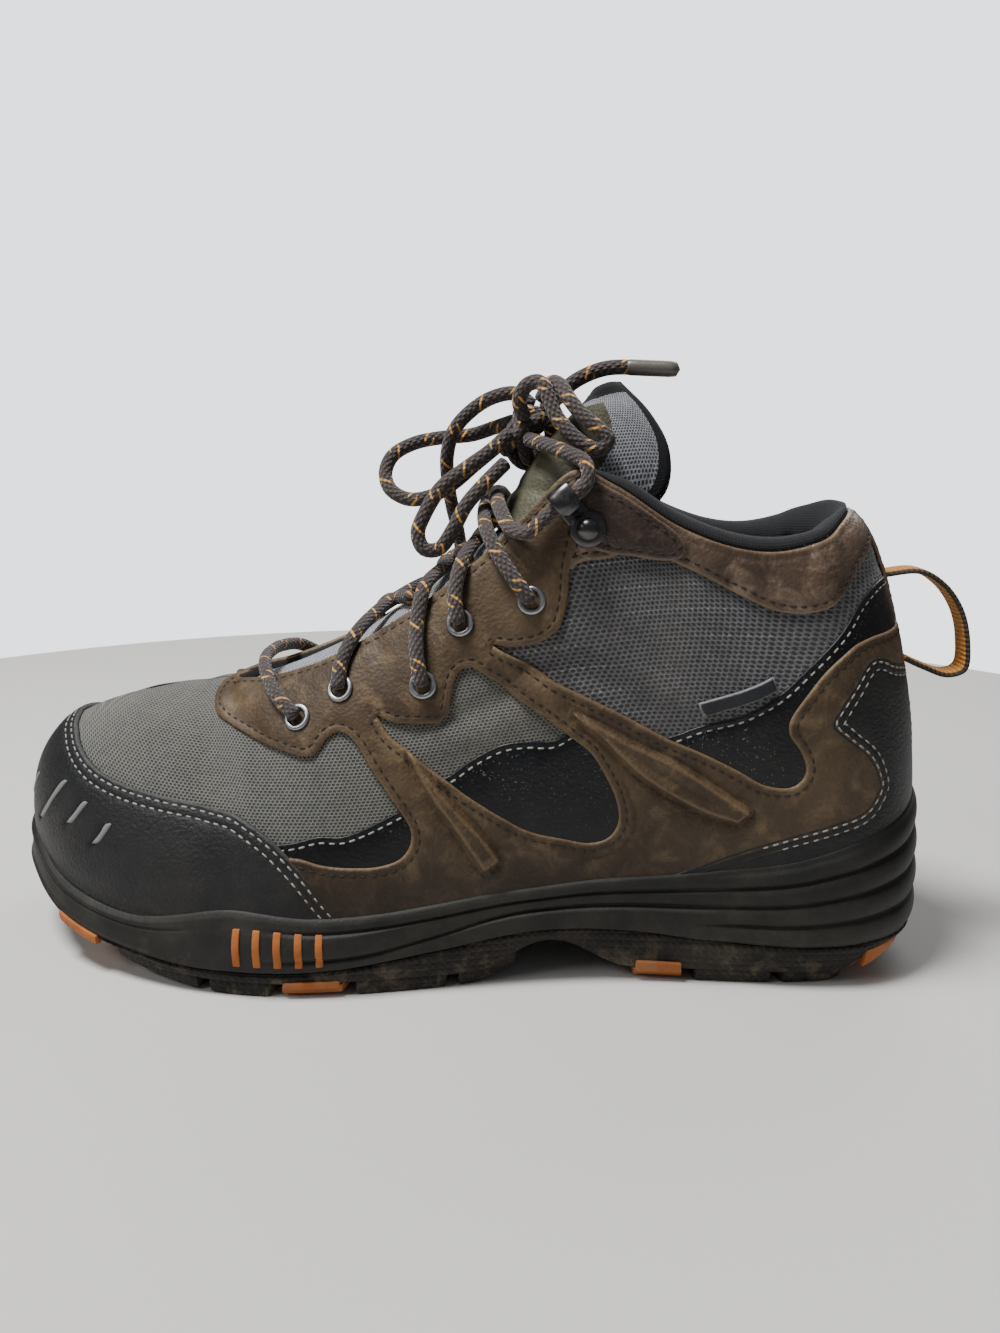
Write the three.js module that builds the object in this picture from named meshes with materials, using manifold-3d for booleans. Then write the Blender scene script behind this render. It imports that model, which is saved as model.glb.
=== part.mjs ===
// A left mid-height hiking boot, standing empty on its sole.
// Millimetres, +X towards the toe, +Y towards the outer side of the foot, +Z up.
import * as THREE from "three";
import { mergeVertices } from "three/addons/utils/BufferGeometryUtils.js";
import Module from "manifold-3d";

const wasm = await Module();
wasm.setup();

// ---- driving dimensions -------------------------------------------------

const outer = 1; // the outer side of the foot
const inner = -1; // the inner side of the foot
const sides = [outer, inner];

const gap = 0.35; // between two pieces that touch
const wall = 3; // leather, mesh and lining together
const collarPad = 6; // foam added to the wall at the collar
const overlayProud = 1.5; // thickness of the toe cap and the heel counter
const insoleThick = 4;
const tongueThick = 5;
const laceDiameter = 4.4;
const agletDiameter = 4.8;
const treadDepth = 4.5;
const heelFootbed = 30; // height of the footbed under the heel
const ballFootbed = 14; // and under the ball of the foot
const throatBase = 240; // girth station where the throat ends and the vamp closes
const toeTip = 350; // girth station of the tip of the toe

// Girth stations, counted along the feather edge from the middle of the heel to the tip of the toe.
// Feather edge: x, half width on the outer side, half width on the inner side.
// Top edge (collar, then throat, then the middle line of the vamp): x, half width, z.
const last = [
  [0, 9, 0, 0, 36, 0, 146.5],
  [15, 11.5, 14.5, 14.5, 37.5, 12, 146],
  [30, 18.5, 26, 26, 42.5, 22, 143],
  [45, 30, 32, 32, 49, 29.5, 139],
  [60, 44, 34, 34, 62, 32, 136],
  [90, 73, 35, 32, 91, 33, 143],
  [108, 91, 35.3, 30, 110, 32, 154.5],
  [120, 102.5, 36, 29.5, 121, 30.5, 158.5],
  [135, 117, 37, 29.5, 134.5, 29, 146],
  [150, 132, 39, 31, 148, 27.5, 132.5],
  [180, 162, 45, 37, 175, 25, 111.5],
  [210, 192, 49.5, 44.5, 202, 21.5, 96],
  [225, 207, 51, 47.5, 219, 16, 90],
  [236, 218, 51, 49, 230, 8, 87.8],
  [240, 222, 50.8, 49.4, 232.5, 0, 87],
  [252, 234, 49.5, 49.8, 240.5, 0, 86],
  [265, 246.5, 46.8, 49, 249, 0, 84.9],
  [285, 265, 40.5, 45.5, 260, 0, 83],
  [305, 282, 30.5, 38.5, 268.5, 0, 80.9],
  [320, 293, 20, 30, 274, 0, 79.2],
  [335, 301.3, 8, 19.5, 277.5, 0, 77.9],
  [350, 304, -6, 6, 279, 0, 77.3],
];

// The fullness of each section: how far its first handle rises from the feather edge and leans out,
// then where its second handle lies from the top edge (x, outward, z).
const fullness = [
  [0, 38, 3, -17, 0, -9],
  [15, 38, 3, -14.5, 6, -10],
  [30, 38, 3, -8, 9, -16],
  [45, 38, 3, -2, 9, -25],
  [60, 38, 3, 0, 7, -34],
  [90, 36, 3, 0, 6, -36],
  [108, 34, 3, 0, 7, -34],
  [135, 33, 3, 0, 10, -30],
  [150, 32, 3, 0, 12, -26],
  [180, 30, 4, 0, 16, -17],
  [210, 27, 4, 0, 19, -11],
  [225, 26, 4, 0, 22, -8],
  [240, 25, 4, 0, 27, -1],
  [265, 26, 4, 3, 28, -1],
  [285, 27, 4, 8, 26, -3],
  [305, 28, 4, 14, 21, -4.4],
  [320, 28, 4, 17, 15, -5.8],
  [350, 28, 3, 20, 0, -7],
];

// The sole: how far it stands out from the feather edge at its widest and at the ground,
// the height of its upper rim, and the height where midsole and outsole meet.
const sole = [
  [0, 5.5, -4, 60, 17],
  [30, 6, -3, 54, 16],
  [60, 6, 1, 43.5, 14],
  [90, 4.5, 1.5, 38, 15],
  [120, 3.5, 0, 35, 18],
  [150, 3.5, -1, 32, 18],
  [180, 4, 2, 28, 13],
  [210, 5, 4, 24.5, 8.5],
  [240, 5.5, 4, 26.5, 8],
  [255, 5.5, 3, 24, 8.5],
  [270, 5.5, 2, 21.5, 10.5],
  [305, 5.5, 0, 26, 17],
  [330, 5, -0.5, 35.5, 24.5],
  [350, 5, -0.5, 39.5, 27.5],
];

// ---- smooth tables ------------------------------------------------------

const clamp01 = (v) => Math.min(1, Math.max(0, v));
const smooth = (from, to, v) => {
  const k = clamp01((v - from) / (to - from));
  return k * k * (3 - 2 * k);
};
const lerp = (a, b, k) => a + (b - a) * k;

// A cubic through the rows of a table, with its slope at each row taken from both neighbours.
function tableCurve(rows) {
  const slope = (i) => {
    const a = rows[Math.max(0, i - 1)];
    const b = rows[i];
    const c = rows[Math.min(rows.length - 1, i + 1)];
    const before = b[0] - a[0];
    const after = c[0] - b[0];
    return b.map((v, k) => {
      const d0 = before ? (v - a[k]) / before : (c[k] - v) / after;
      const d1 = after ? (c[k] - v) / after : d0;
      return (d0 * after + d1 * before) / (before + after);
    });
  };
  const slopes = rows.map((_, i) => slope(i));
  return (s) => {
    let i = 0;
    while (i < rows.length - 2 && s > rows[i + 1][0]) i++;
    const h = rows[i + 1][0] - rows[i][0];
    const t = (s - rows[i][0]) / h;
    const t2 = t * t;
    const t3 = t2 * t;
    return rows[i].map(
      (v, k) =>
        (2 * t3 - 3 * t2 + 1) * v +
        (t3 - 2 * t2 + t) * h * slopes[i][k] +
        (3 * t2 - 2 * t3) * rows[i + 1][k] +
        (t3 - t2) * h * slopes[i + 1][k],
    );
  };
}

// The rows mirrored past the heel and past the toe, so that the outline is smooth round both ends.
function mirroredEnds(rows) {
  const turned = (s, [, x, yOuter, yInner, topX, topY, topZ]) => [s, x, -yInner, -yOuter, topX, -topY, topZ];
  const heel = rows[1];
  const toe = rows[rows.length - 2];
  return [turned(-heel[0], heel), ...rows, turned(2 * toeTip - toe[0], toe)];
}

// The same for a table whose values don't change sides.
function evenEnds(rows) {
  const heel = rows[1];
  const toe = rows[rows.length - 2];
  return [[-heel[0], ...heel.slice(1)], ...rows, [2 * toeTip - toe[0], ...toe.slice(1)]];
}

const lastAt = tableCurve(mirroredEnds(last));
const fullnessAt = tableCurve(evenEnds(fullness));
const soleAt = tableCurve(evenEnds(sole));

// ---- the form of the foot -----------------------------------------------

// Height of the footbed, which falls from the heel to the ball and springs up at the toe.
function footbed(x) {
  const spring = Math.max(0, (x - 215) / 92);
  return lerp(heelFootbed, ballFootbed, smooth(60, 200, x)) + 15 * spring ** 2.2;
}

function featherPoint(s, side) {
  const [, x, yOuter, yInner] = lastAt(s);
  return new THREE.Vector3(x, side === outer ? yOuter : -yInner, footbed(x));
}

// The direction that points out of the outline, seen from above.
function outward(s, side) {
  if (s <= 0) return new THREE.Vector3(-1, 0, 0);
  if (s >= toeTip) return new THREE.Vector3(1, 0, 0);
  const a = featherPoint(s - 0.5, side);
  const b = featherPoint(s + 0.5, side);
  return new THREE.Vector3(-side * (b.y - a.y), side * (b.x - a.x), 0).normalize();
}

function topPoint(s, side) {
  const row = lastAt(s);
  const half = s < throatBase ? row[5] : 0;
  return new THREE.Vector3(row[4], side * half, row[6]);
}

// The skin of the upper: s along the foot, t from the feather edge (0) to the top edge (1).
function skin(s, t, side) {
  const [, rise, lean, handleX, handleY, handleZ] = fullnessAt(s);
  const foot = featherPoint(s, side);
  const top = topPoint(s, side);
  const low = foot.clone().addScaledVector(outward(s, side), lean);
  low.z += rise;
  const high = top.clone().add(new THREE.Vector3(handleX, side * handleY, handleZ));
  return new THREE.CubicBezierCurve3(foot, low, high, top).getPoint(t);
}

const onMiddle = (s, t) => s <= 0 || s >= toeTip || (t >= 1 && s >= throatBase);

function oneSidedNormal(s, t, side) {
  const step = 0.01;
  const up = skin(s, Math.min(1, t + step), side).sub(skin(s, Math.max(0, t - step), side));
  const s0 = Math.max(0.001, s - 0.5);
  const s1 = Math.min(toeTip - 0.001, s + 0.5);
  const along = skin(s1, t, side).sub(skin(s0, t, side));
  return up.cross(along).multiplyScalar(side).normalize();
}

// The direction out of the skin. On the middle line both sides share one direction.
function skinNormal(s, t, side) {
  if (!onMiddle(s, t)) return oneSidedNormal(s, t, side);
  return oneSidedNormal(s, t, outer).add(oneSidedNormal(s, t, inner)).setY(0).normalize();
}

const offsetSkin = (s, t, side, grow) => skin(s, t, side).addScaledVector(skinNormal(s, t, side), grow);

// The t at which the skin passes a height.
function skinAtHeight(s, side, z) {
  let low = 0;
  let high = 0.7;
  for (let i = 0; i < 24; i++) {
    const mid = (low + high) / 2;
    if (skin(s, mid, side).z < z) low = mid;
    else high = mid;
  }
  return low;
}

// Height of the ground side of the sole: flat under heel and ball, raised under the arch,
// bevelled at the back of the heel, and sprung at the toe.
function ground(x) {
  const bevel = x < 36 ? 12 * ((36 - x) / 29) ** 1.2 : 0;
  const arch = 9 * Math.sin(Math.PI * clamp01((x - 99) / 52)) ** 2;
  const spring = x > 222 ? 22 * ((x - 222) / 86) ** 1.8 : 0;
  return bevel + arch + spring;
}

// Inside its edge, the line between midsole and outsole stays below the footbed.
const coreSplit = (x, splitZ) => Math.min(splitZ, footbed(x) - 3.5);

// The underside of the outsole between its lugs.
const treadBase = (x, splitZ) => Math.min(ground(x) + treadDepth, coreSplit(x, splitZ) - gap - 1.5);

// A point beside the feather edge, moved out and set at a height.
function besideFeather(s, side, out, z) {
  const p = featherPoint(s, side).addScaledVector(outward(s, side), out);
  return p.setZ(z);
}

// The middle line of the sole, on which both halves of each section meet, at a height found from x.
function middle(s, heightAt) {
  const x = lerp(30, 268, (featherPoint(s, outer).x - 9) / 297);
  return new THREE.Vector3(x, -3 * smooth(60, 300, x), heightAt(x));
}

// ---- making closed meshes -----------------------------------------------

// Two triangles, split from a to c, or from b to d where that line is already an edge elsewhere.
function quad(faces, a, b, c, d, turned = false) {
  if (turned) faces.push(b, c, d, b, d, a);
  else faces.push(a, b, c, a, c, d);
}

// One closed body from points and faces: doubles welded, empty triangles dropped, faces turned outwards.
function closedBody(points, faces) {
  const raw = new THREE.BufferGeometry().setFromPoints(points);
  raw.setIndex(faces);
  const welded = mergeVertices(raw, 1e-3);
  const at = welded.getAttribute("position");
  const index = welded.getIndex().array;
  const kept = [];
  let volume = 0;
  const [a, b, c] = [new THREE.Vector3(), new THREE.Vector3(), new THREE.Vector3()];
  for (let i = 0; i < index.length; i += 3) {
    const [p, q, r] = [index[i], index[i + 1], index[i + 2]];
    if (p === q || q === r || r === p) continue;
    kept.push(p, q, r);
    a.fromBufferAttribute(at, p);
    b.fromBufferAttribute(at, q);
    c.fromBufferAttribute(at, r);
    volume += a.dot(b.cross(c));
  }
  if (volume < 0) kept.reverse();
  welded.setIndex(kept);
  return welded;
}

// A loft all round the boot. Each section is an open line that starts and ends on the middle line.
function loftRound(section) {
  const points = [];
  const faces = [];
  for (const side of sides) {
    const columns = stations.map((s) => section(s, side));
    const rows = columns[0].length;
    const first = points.length;
    columns.forEach((column) => points.push(...column));
    for (let i = 0; i < stations.length - 1; i++)
      for (let j = 0; j < rows - 1; j++) {
        const a = first + i * rows + j;
        const turned = j < (rows - 1) / 2 === (i === stations.length - 2);
        if (side === outer) quad(faces, a, a + 1, a + rows + 1, a + rows, turned);
        else quad(faces, a, a + rows, a + rows + 1, a + 1, turned);
      }
  }
  return closedBody(points, faces);
}

// A slab between two grids of points, closed along its four edges.
function slab(front, back) {
  const rows = front[0].length;
  const columns = front.length;
  const points = [...front.flat(), ...back.flat()];
  const faces = [];
  const id = (layer, i, j) => layer * rows * columns + i * rows + j;
  for (let i = 0; i < columns - 1; i++)
    for (let j = 0; j < rows - 1; j++) {
      quad(faces, id(0, i, j), id(0, i + 1, j), id(0, i + 1, j + 1), id(0, i, j + 1));
      quad(faces, id(1, i, j), id(1, i, j + 1), id(1, i + 1, j + 1), id(1, i + 1, j));
    }
  for (let i = 0; i < columns - 1; i++) {
    quad(faces, id(0, i, 0), id(1, i, 0), id(1, i + 1, 0), id(0, i + 1, 0));
    quad(faces, id(0, i, rows - 1), id(0, i + 1, rows - 1), id(1, i + 1, rows - 1), id(1, i, rows - 1));
  }
  for (let j = 0; j < rows - 1; j++) {
    quad(faces, id(0, 0, j), id(0, 0, j + 1), id(1, 0, j + 1), id(1, 0, j));
    quad(faces, id(0, columns - 1, j), id(1, columns - 1, j), id(1, columns - 1, j + 1), id(0, columns - 1, j + 1));
  }
  return closedBody(points, faces);
}

function solidOf(geometry) {
  const bare = geometry.index ? geometry.toNonIndexed() : geometry.clone();
  for (const name of Object.keys(bare.attributes)) if (name !== "position") bare.deleteAttribute(name);
  const merged = mergeVertices(bare, 1e-4);
  return new wasm.Manifold(
    new wasm.Mesh({
      numProp: 3,
      vertProperties: new Float32Array(merged.getAttribute("position").array),
      triVerts: new Uint32Array(merged.getIndex().array),
    }),
  );
}

function geometryOf(solid) {
  const mesh = solid.getMesh();
  const geometry = new THREE.BufferGeometry();
  geometry.setAttribute("position", new THREE.BufferAttribute(mesh.vertProperties, 3));
  geometry.setIndex(new THREE.BufferAttribute(mesh.triVerts, 1));
  return geometry;
}

const joined = (geometries) => geometryOf(geometries.map(solidOf).reduce((all, one) => all.add(one)));

// A round bar along a smooth line through the points.
function roundBar(points, diameter, steps, barSides = 8) {
  const curve = new THREE.CatmullRomCurve3(points.map((p) => new THREE.Vector3(...p)), false, "centripetal");
  const ring = new THREE.Shape(
    Array.from({ length: barSides }, (_, i) => {
      const angle = ((i + 0.5) / barSides) * 2 * Math.PI;
      return new THREE.Vector2(Math.cos(angle), Math.sin(angle)).multiplyScalar(diameter / 2);
    }),
  );
  return new THREE.ExtrudeGeometry(ring, { steps, extrudePath: curve });
}

// Turns a piece made round +Z, with its foot at z = 0, so that it stands on the skin at a point.
function standOnSkin(geometry, s, t, side, lift = 0) {
  const n = skinNormal(s, t, side);
  const along = skin(s + 1, t, side).sub(skin(s - 1, t, side)).projectOnPlane(n).normalize();
  const across = n.clone().cross(along);
  const frame = new THREE.Matrix4().makeBasis(along, across, n);
  return geometry.applyMatrix4(frame.setPosition(offsetSkin(s, t, side, lift)));
}

// ---- upper --------------------------------------------------------------

const stations = [
  0, 10, 20, 31, 43, 58, 74, 90, 102, 112, 120, 129, 139, 151, 164, 178, 193, 208, 221, 231, 240, 252, 265, 279, 293,
  307, 319, 331, 341, 350,
];
const upperLevels = [0, 0.11, 0.22, 0.34, 0.46, 0.58, 0.69, 0.79, 0.87, 0.94, 1];

// How much of the collar's padding a place has: all of it round the ankle, none along the throat.
const padShare = (s, t) => (1 - smooth(98, 122, s)) * smooth(0.66, 0.86, t);
const wallAt = (s, t) => wall + collarPad * padShare(s, t);

// The rolled top of the wall, between its outer and its inner edge.
function rimCrest(s, side) {
  const share = padShare(s, 1);
  const crest = offsetSkin(s, 1, side, -lerp(wall / 2, 5, share));
  crest.z += lerp(0.3, 4.5, share);
  return crest;
}

function upperShell() {
  const points = [];
  const faces = [];
  const levels = upperLevels.length;
  for (const side of sides) {
    const first = points.length;
    const rows = 2 * levels + 1;
    for (const s of stations) {
      upperLevels.forEach((t) => points.push(skin(s, t, side)));
      points.push(rimCrest(s, side));
      [...upperLevels].reverse().forEach((t) => points.push(offsetSkin(s, t, side, -wallAt(s, t))));
    }
    for (let i = 0; i < stations.length - 1; i++)
      for (let j = 0; j < rows; j++) {
        const onRim = j === levels - 1 || j === levels;
        if (onRim && stations[i] >= throatBase) continue; // the vamp is closed over the middle line
        const a = first + i * rows + j;
        const b = first + i * rows + ((j + 1) % rows);
        const turned = j > levels;
        if (side === outer) quad(faces, a, b, b + rows, a + rows, turned);
        else quad(faces, a, a + rows, b + rows, b, turned);
      }
  }
  return closedBody(points, faces);
}

// The space inside the skin as one filled body, grown by an even distance.
function filledUpper(grow) {
  const points = [];
  const faces = [];
  const rows = upperLevels.length;
  for (const side of sides)
    for (const s of stations) upperLevels.forEach((t) => points.push(offsetSkin(s, t, side, grow)));
  const id = (side, i, j) => (side === outer ? 0 : stations.length * rows) + i * rows + j;
  for (let i = 0; i < stations.length - 1; i++) {
    for (let j = 0; j < rows - 1; j++) {
      quad(faces, id(outer, i, j), id(outer, i, j + 1), id(outer, i + 1, j + 1), id(outer, i + 1, j));
      quad(faces, id(inner, i, j), id(inner, i + 1, j), id(inner, i + 1, j + 1), id(inner, i, j + 1));
    }
    quad(faces, id(outer, i, 0), id(outer, i + 1, 0), id(inner, i + 1, 0), id(inner, i, 0));
    if (stations[i] < throatBase) {
      const top = rows - 1;
      quad(faces, id(outer, i, top), id(inner, i, top), id(inner, i + 1, top), id(outer, i + 1, top));
    }
  }
  return closedBody(points, faces);
}

// ---- eyelets and hooks --------------------------------------------------

// Places on each side of the throat, from the vamp up: [s, t].
const eyeletPlaces = [
  [213, 0.76],
  [199, 0.82],
  [172, 0.72],
  [158, 0.84],
  [136, 0.77],
];
const hookPlace = [117, 0.85];
const eyeletSegments = 8;
const eyelet = { bore: 2.3, barrel: 2.8, flange: 4.1, proud: 1.2, reach: 3.4 };

function eyeletHole(s, t, side) {
  const drill = new THREE.CylinderGeometry(eyelet.barrel + gap, eyelet.barrel + gap, 14, eyeletSegments);
  drill.rotateX(Math.PI / 2);
  return standOnSkin(drill, s, t, side);
}

function eyeletRing(s, t, side) {
  const { bore, barrel, flange, proud, reach } = eyelet;
  const profile = [
    [bore, -reach],
    [barrel, -reach],
    [barrel, gap],
    [flange, gap],
    [flange - 0.5, proud],
    [bore, proud],
    [bore, -reach],
  ].map(([r, z]) => new THREE.Vector2(r, z));
  const ring = new THREE.LatheGeometry(profile, eyeletSegments);
  ring.rotateX(Math.PI / 2);
  return standOnSkin(ring, s, t, side);
}

// A lacing hook: a plate with a rivet, and a strip that rises at its front and curls back over the lace.
const hook = { tilt: 0.62, width: 7, front: 14, back: -4, height: 8.2, metal: 1.1, disc: 5.4, dome: 3.4 };

function laceHook(side) {
  const { tilt, width, front, back, height, metal, disc, dome } = hook;
  const low = gap + 0.3;
  const curl = [
    [back, low],
    [front, low],
    [front, low + height],
    [front - 8, low + height],
    [front - 8, low + height - metal],
    [front - metal, low + height - metal],
    [front - metal, low + metal],
    [back, low + metal],
  ];
  const strip = new THREE.ExtrudeGeometry(new THREE.Shape(curl.map((p) => new THREE.Vector2(...p))), {
    depth: width,
    bevelEnabled: false,
  });
  strip.rotateX(Math.PI / 2).translate(0, width / 2, 0);
  const rivetLine = [
    [0, low + metal + 2],
    [dome * 0.6, low + metal + 1.7],
    [dome, low + metal + 0.6],
    [dome, low + metal + 0.2],
    [disc, low + metal + 0.2],
    [disc, low],
    [0, low],
  ];
  const rivet = new THREE.LatheGeometry(rivetLine.reverse().map((p) => new THREE.Vector2(...p)), 12);
  rivet.rotateX(Math.PI / 2);
  const whole = joined([strip, rivet]);
  // the front of the strip points up and towards the throat on both sides of the boot
  whole.rotateZ(side === outer ? -tilt : tilt);
  return standOnSkin(whole, ...hookPlace, side);
}

// ---- sole ---------------------------------------------------------------

// Share of the heel's four rolls at a station.
const rollShare = (s) => 1 - smooth(78, 102, s);

function midsoleSection(s, side) {
  const [, wide, , rimZ, splitZ] = soleAt(s);
  const bedAt = (x) => footbed(x) - gap;
  const foot = featherPoint(s, side);
  const rimT = skinAtHeight(s, side, rimZ);
  const section = [middle(s, bedAt), besideFeather(s, side, gap, bedAt(foot.x))];
  for (const k of [0.35, 0.7, 1]) section.push(offsetSkin(s, rimT * k, side, gap));
  const lip = offsetSkin(s, rimT, side, gap + 1.8);
  lip.z -= 0.4;
  section.push(lip);
  const lipOut = lip.clone().sub(foot).dot(outward(s, side));
  const steps = 7;
  for (let k = 1; k <= steps; k++) {
    const v = k / steps;
    const roll = 0.9 * rollShare(s) * Math.cos(v * 2 * Math.PI * 4) * Math.sin(Math.PI * v);
    const bulge = lerp(lipOut + 0.6, wide, Math.sin((v * Math.PI) / 2)) + roll - (k === steps ? 0.8 : 0);
    section.push(besideFeather(s, side, bulge, lerp(lip.z, splitZ, v)));
  }
  section.push(besideFeather(s, side, wide - 5, coreSplit(foot.x, splitZ)));
  section.push(middle(s, (x) => coreSplit(x, splitZ)));
  return section;
}

function outsoleSection(s, side) {
  const [, wide, foot, , splitZ] = soleAt(s);
  const { x } = featherPoint(s, side);
  const base = treadBase(x, splitZ);
  return [
    middle(s, (at) => coreSplit(at, splitZ) - gap),
    besideFeather(s, side, wide - 5, coreSplit(x, splitZ) - gap),
    besideFeather(s, side, wide - 0.6, splitZ - gap),
    besideFeather(s, side, lerp(wide, foot, 0.15), lerp(splitZ, base, 0.4)),
    besideFeather(s, side, lerp(wide, foot, 0.6), base),
    middle(s, (at) => treadBase(at, splitZ)),
  ];
}

// A lug under the edge of the sole, from station s0 to s1, reaching in by its depth.
function edgeLug(s0, s1, side, depth, { raise = 0, sunk = 0.6, shrink = 0 } = {}) {
  const front = [];
  const back = [];
  for (const s of [s0, (s0 + s1) / 2, s1]) {
    const [, wide, foot, , splitZ] = soleAt(s);
    const edge = besideFeather(s, side, lerp(wide, foot, 0.6) - shrink, treadBase(featherPoint(s, side).x, splitZ));
    const core = middle(s, (x) => treadBase(x, splitZ));
    const within = edge.clone().lerp(core, depth / edge.distanceTo(core));
    const onGround = (p) => p.clone().setZ(ground(p.x) + raise);
    const raised = (p) => p.clone().setZ(p.z + sunk);
    front.push([onGround(besideFeather(s, side, foot - shrink, 0)), raised(edge)]);
    back.push([onGround(within), raised(within)]);
  }
  return slab(front, back);
}

// A block under the middle of the tread, with its outline in plan and its foot on the ground line.
function middleLug(x, y, length, width) {
  const half = [length / 2, width / 2];
  const corners = [-1, 1].map((i) => [-1, 1].map((j) => [x + i * half[0], y + j * half[1]]));
  const low = corners.map((pair) => pair.map(([u, v]) => new THREE.Vector3(u, v, ground(u))));
  const high = corners.map((pair) => pair.map(([u, v]) => new THREE.Vector3(u, v, ground(u) + treadDepth + 0.8)));
  return slab(low, high);
}

// Edge lugs as [from, to, depth], and the stations where a coloured insert stands in their place.
const edgeLugs = [
  [4, 24, 12],
  [48, 68, 16],
  [72, 96, 15],
  [154, 172, 15],
  [176, 203, 17],
  [229, 247, 17],
  [251, 281, 16],
  [308, 325, 13],
  [329, 347, 12],
];
const insertLugs = [
  [28, 43, 8],
  [100, 116, 12],
  [207, 225, 12],
  [285, 304, 12],
];
const middleLugs = [
  [38, 0, 13, 22],
  [60, 1, 13, 22],
  [82, 2, 12, 20],
  [165, 2, 12, 34],
  [185, 1, 12, 38],
  [205, 0, 12, 40],
  [226, -1, 12, 38],
  [247, -2, 11, 32],
  [267, -3, 10, 22],
];

function outsole() {
  const lugs = sides.flatMap((side) => edgeLugs.map(([s0, s1, depth]) => edgeLug(s0, s1, side, depth)));
  const blocks = middleLugs.map((place) => middleLug(...place));
  return joined([loftRound(outsoleSection), ...lugs, ...blocks]);
}

// ---- insole -------------------------------------------------------------

function insoleSection(s, side) {
  const inset = -(wall + 0.6);
  const bed = featherPoint(s, side).z;
  const cup = 3 * (1 - smooth(70, 130, s));
  return [
    middle(s, footbed),
    besideFeather(s, side, inset - 0.8, bed),
    besideFeather(s, side, inset, bed + insoleThick + cup),
    besideFeather(s, side, inset - 4, bed + insoleThick),
    middle(s, (x) => footbed(x) + insoleThick),
  ];
}

// ---- overlays -----------------------------------------------------------

// The block under the rim line of the midsole, which trims whatever would reach below the rim.
function underRim() {
  return loftRound((s, side) => {
    const [, wide, , rimZ] = soleAt(s);
    const z = rimZ + gap + 0.6;
    const edge = (height) => besideFeather(s, side, wide + 8, height);
    return [middle(s, () => z), edge(z), edge(0), middle(s, () => 0)];
  });
}

// A shell between two offsets of the upper, cut to a side outline given as x, z points.
function overlay(outline) {
  const shell = solidOf(filledUpper(gap + overlayProud)).subtract(solidOf(filledUpper(gap)));
  const shape = new THREE.Shape(outline.map(([x, z]) => new THREE.Vector2(x, z)));
  const cutter = new THREE.ExtrudeGeometry(shape, { depth: 160, bevelEnabled: false });
  cutter.rotateX(Math.PI / 2).translate(0, 80, 0);
  return geometryOf(shell.intersect(solidOf(cutter)).subtract(solidOf(underRim())));
}

const curveThrough = (points, count) =>
  new THREE.SplineCurve(points.map((p) => new THREE.Vector2(...p))).getPoints(count).map((p) => [p.x, p.y]);

const toeCapEdge = [
  [302, 77],
  [291, 73.5],
  [286.5, 71.2],
  [281.5, 68.2],
  [272.6, 63.6],
  [248.4, 59.2],
  [221.4, 55.4],
  [213.2, 52.6],
  [205, 45.4],
  [191, 29.3],
  [182, 16],
];
const toeCapOutline = [...curveThrough(toeCapEdge, 26), [182, 0], [330, 0], [330, 80]];

const counterTop = [[-8, 99], [18, 99], [28, 103], [37, 96], [44, 86], [37, 78], [27, 70], [28, 61]];
const counterStrip = [[28, 61], [44, 52.5], [68, 44.5], [94, 36]];
const counterOutline = [...curveThrough(counterTop, 20), ...curveThrough(counterStrip, 6).slice(1), [94, 10], [-30, 10], [-30, 99]];

// ---- tongue -------------------------------------------------------------

const tongueHalfPoints = 7;

// The line of the tongue's face at one place, from the middle to its outer or inner edge.
function spread(points, count) {
  const curve = new THREE.CatmullRomCurve3(points, false, "centripetal");
  return curve.getSpacedPoints(count - 1);
}

// Under the throat, the face lies against the inside of the upper and bulges up between its edges.
function tongueUnderThroat(s, side, tuck, crown) {
  const below = wall + gap + 0.25;
  const edge = offsetSkin(s, 1, side, -below);
  const centre = edge.clone().setY(0);
  centre.z += crown;
  const points = [centre];
  if (s < throatBase - 2) points.push(edge.clone().setY(edge.y * 0.5).setZ(lerp(edge.z, centre.z, 0.78)), edge);
  for (const t of [0.96, 0.92, 0.88, 0.84, 0.8]) if (t >= tuck) points.push(offsetSkin(s, t, side, -below));
  return spread(points, tongueHalfPoints);
}

// Above the throat it stands free: rows of its middle (x, z), then its outer edge (x, y, z),
// its inner edge (x, y, z), and how far its face swells sideways and up.
const tongueFree = [
  [141, 147, 118, 23, 130, 118, -23, 130, 17, 2],
  [135, 157, 103, 20.5, 139, 103, -20.5, 138, 17, 3],
  [128.5, 166, 90, 19.5, 150, 92, -19.5, 149, 18, 5],
  [123.5, 172, 90, 19, 163, 92, -19, 161, 19, 5],
  [120, 176, 97, 18, 174.5, 99, -18, 172, 18, 4.5],
  [117.5, 179, 107, 15.5, 184, 108, -15.5, 181, 16, 3.5],
];

function tongueFreeRow([x, z, outerX, outerY, outerZ, innerX, innerY, innerZ, swell, rise], side) {
  const centre = new THREE.Vector3(x, 0, z);
  const edge = side === outer ? new THREE.Vector3(outerX, outerY, outerZ) : new THREE.Vector3(innerX, innerY, innerZ);
  const low = centre.clone().add(new THREE.Vector3(0, side * swell, rise * 0.5));
  const high = edge.clone().lerp(centre, 0.55).setY(side * 23).add(new THREE.Vector3(3, 0, rise));
  return new THREE.CubicBezierCurve3(centre, low, high, edge).getSpacedPoints(tongueHalfPoints - 1);
}

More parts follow.
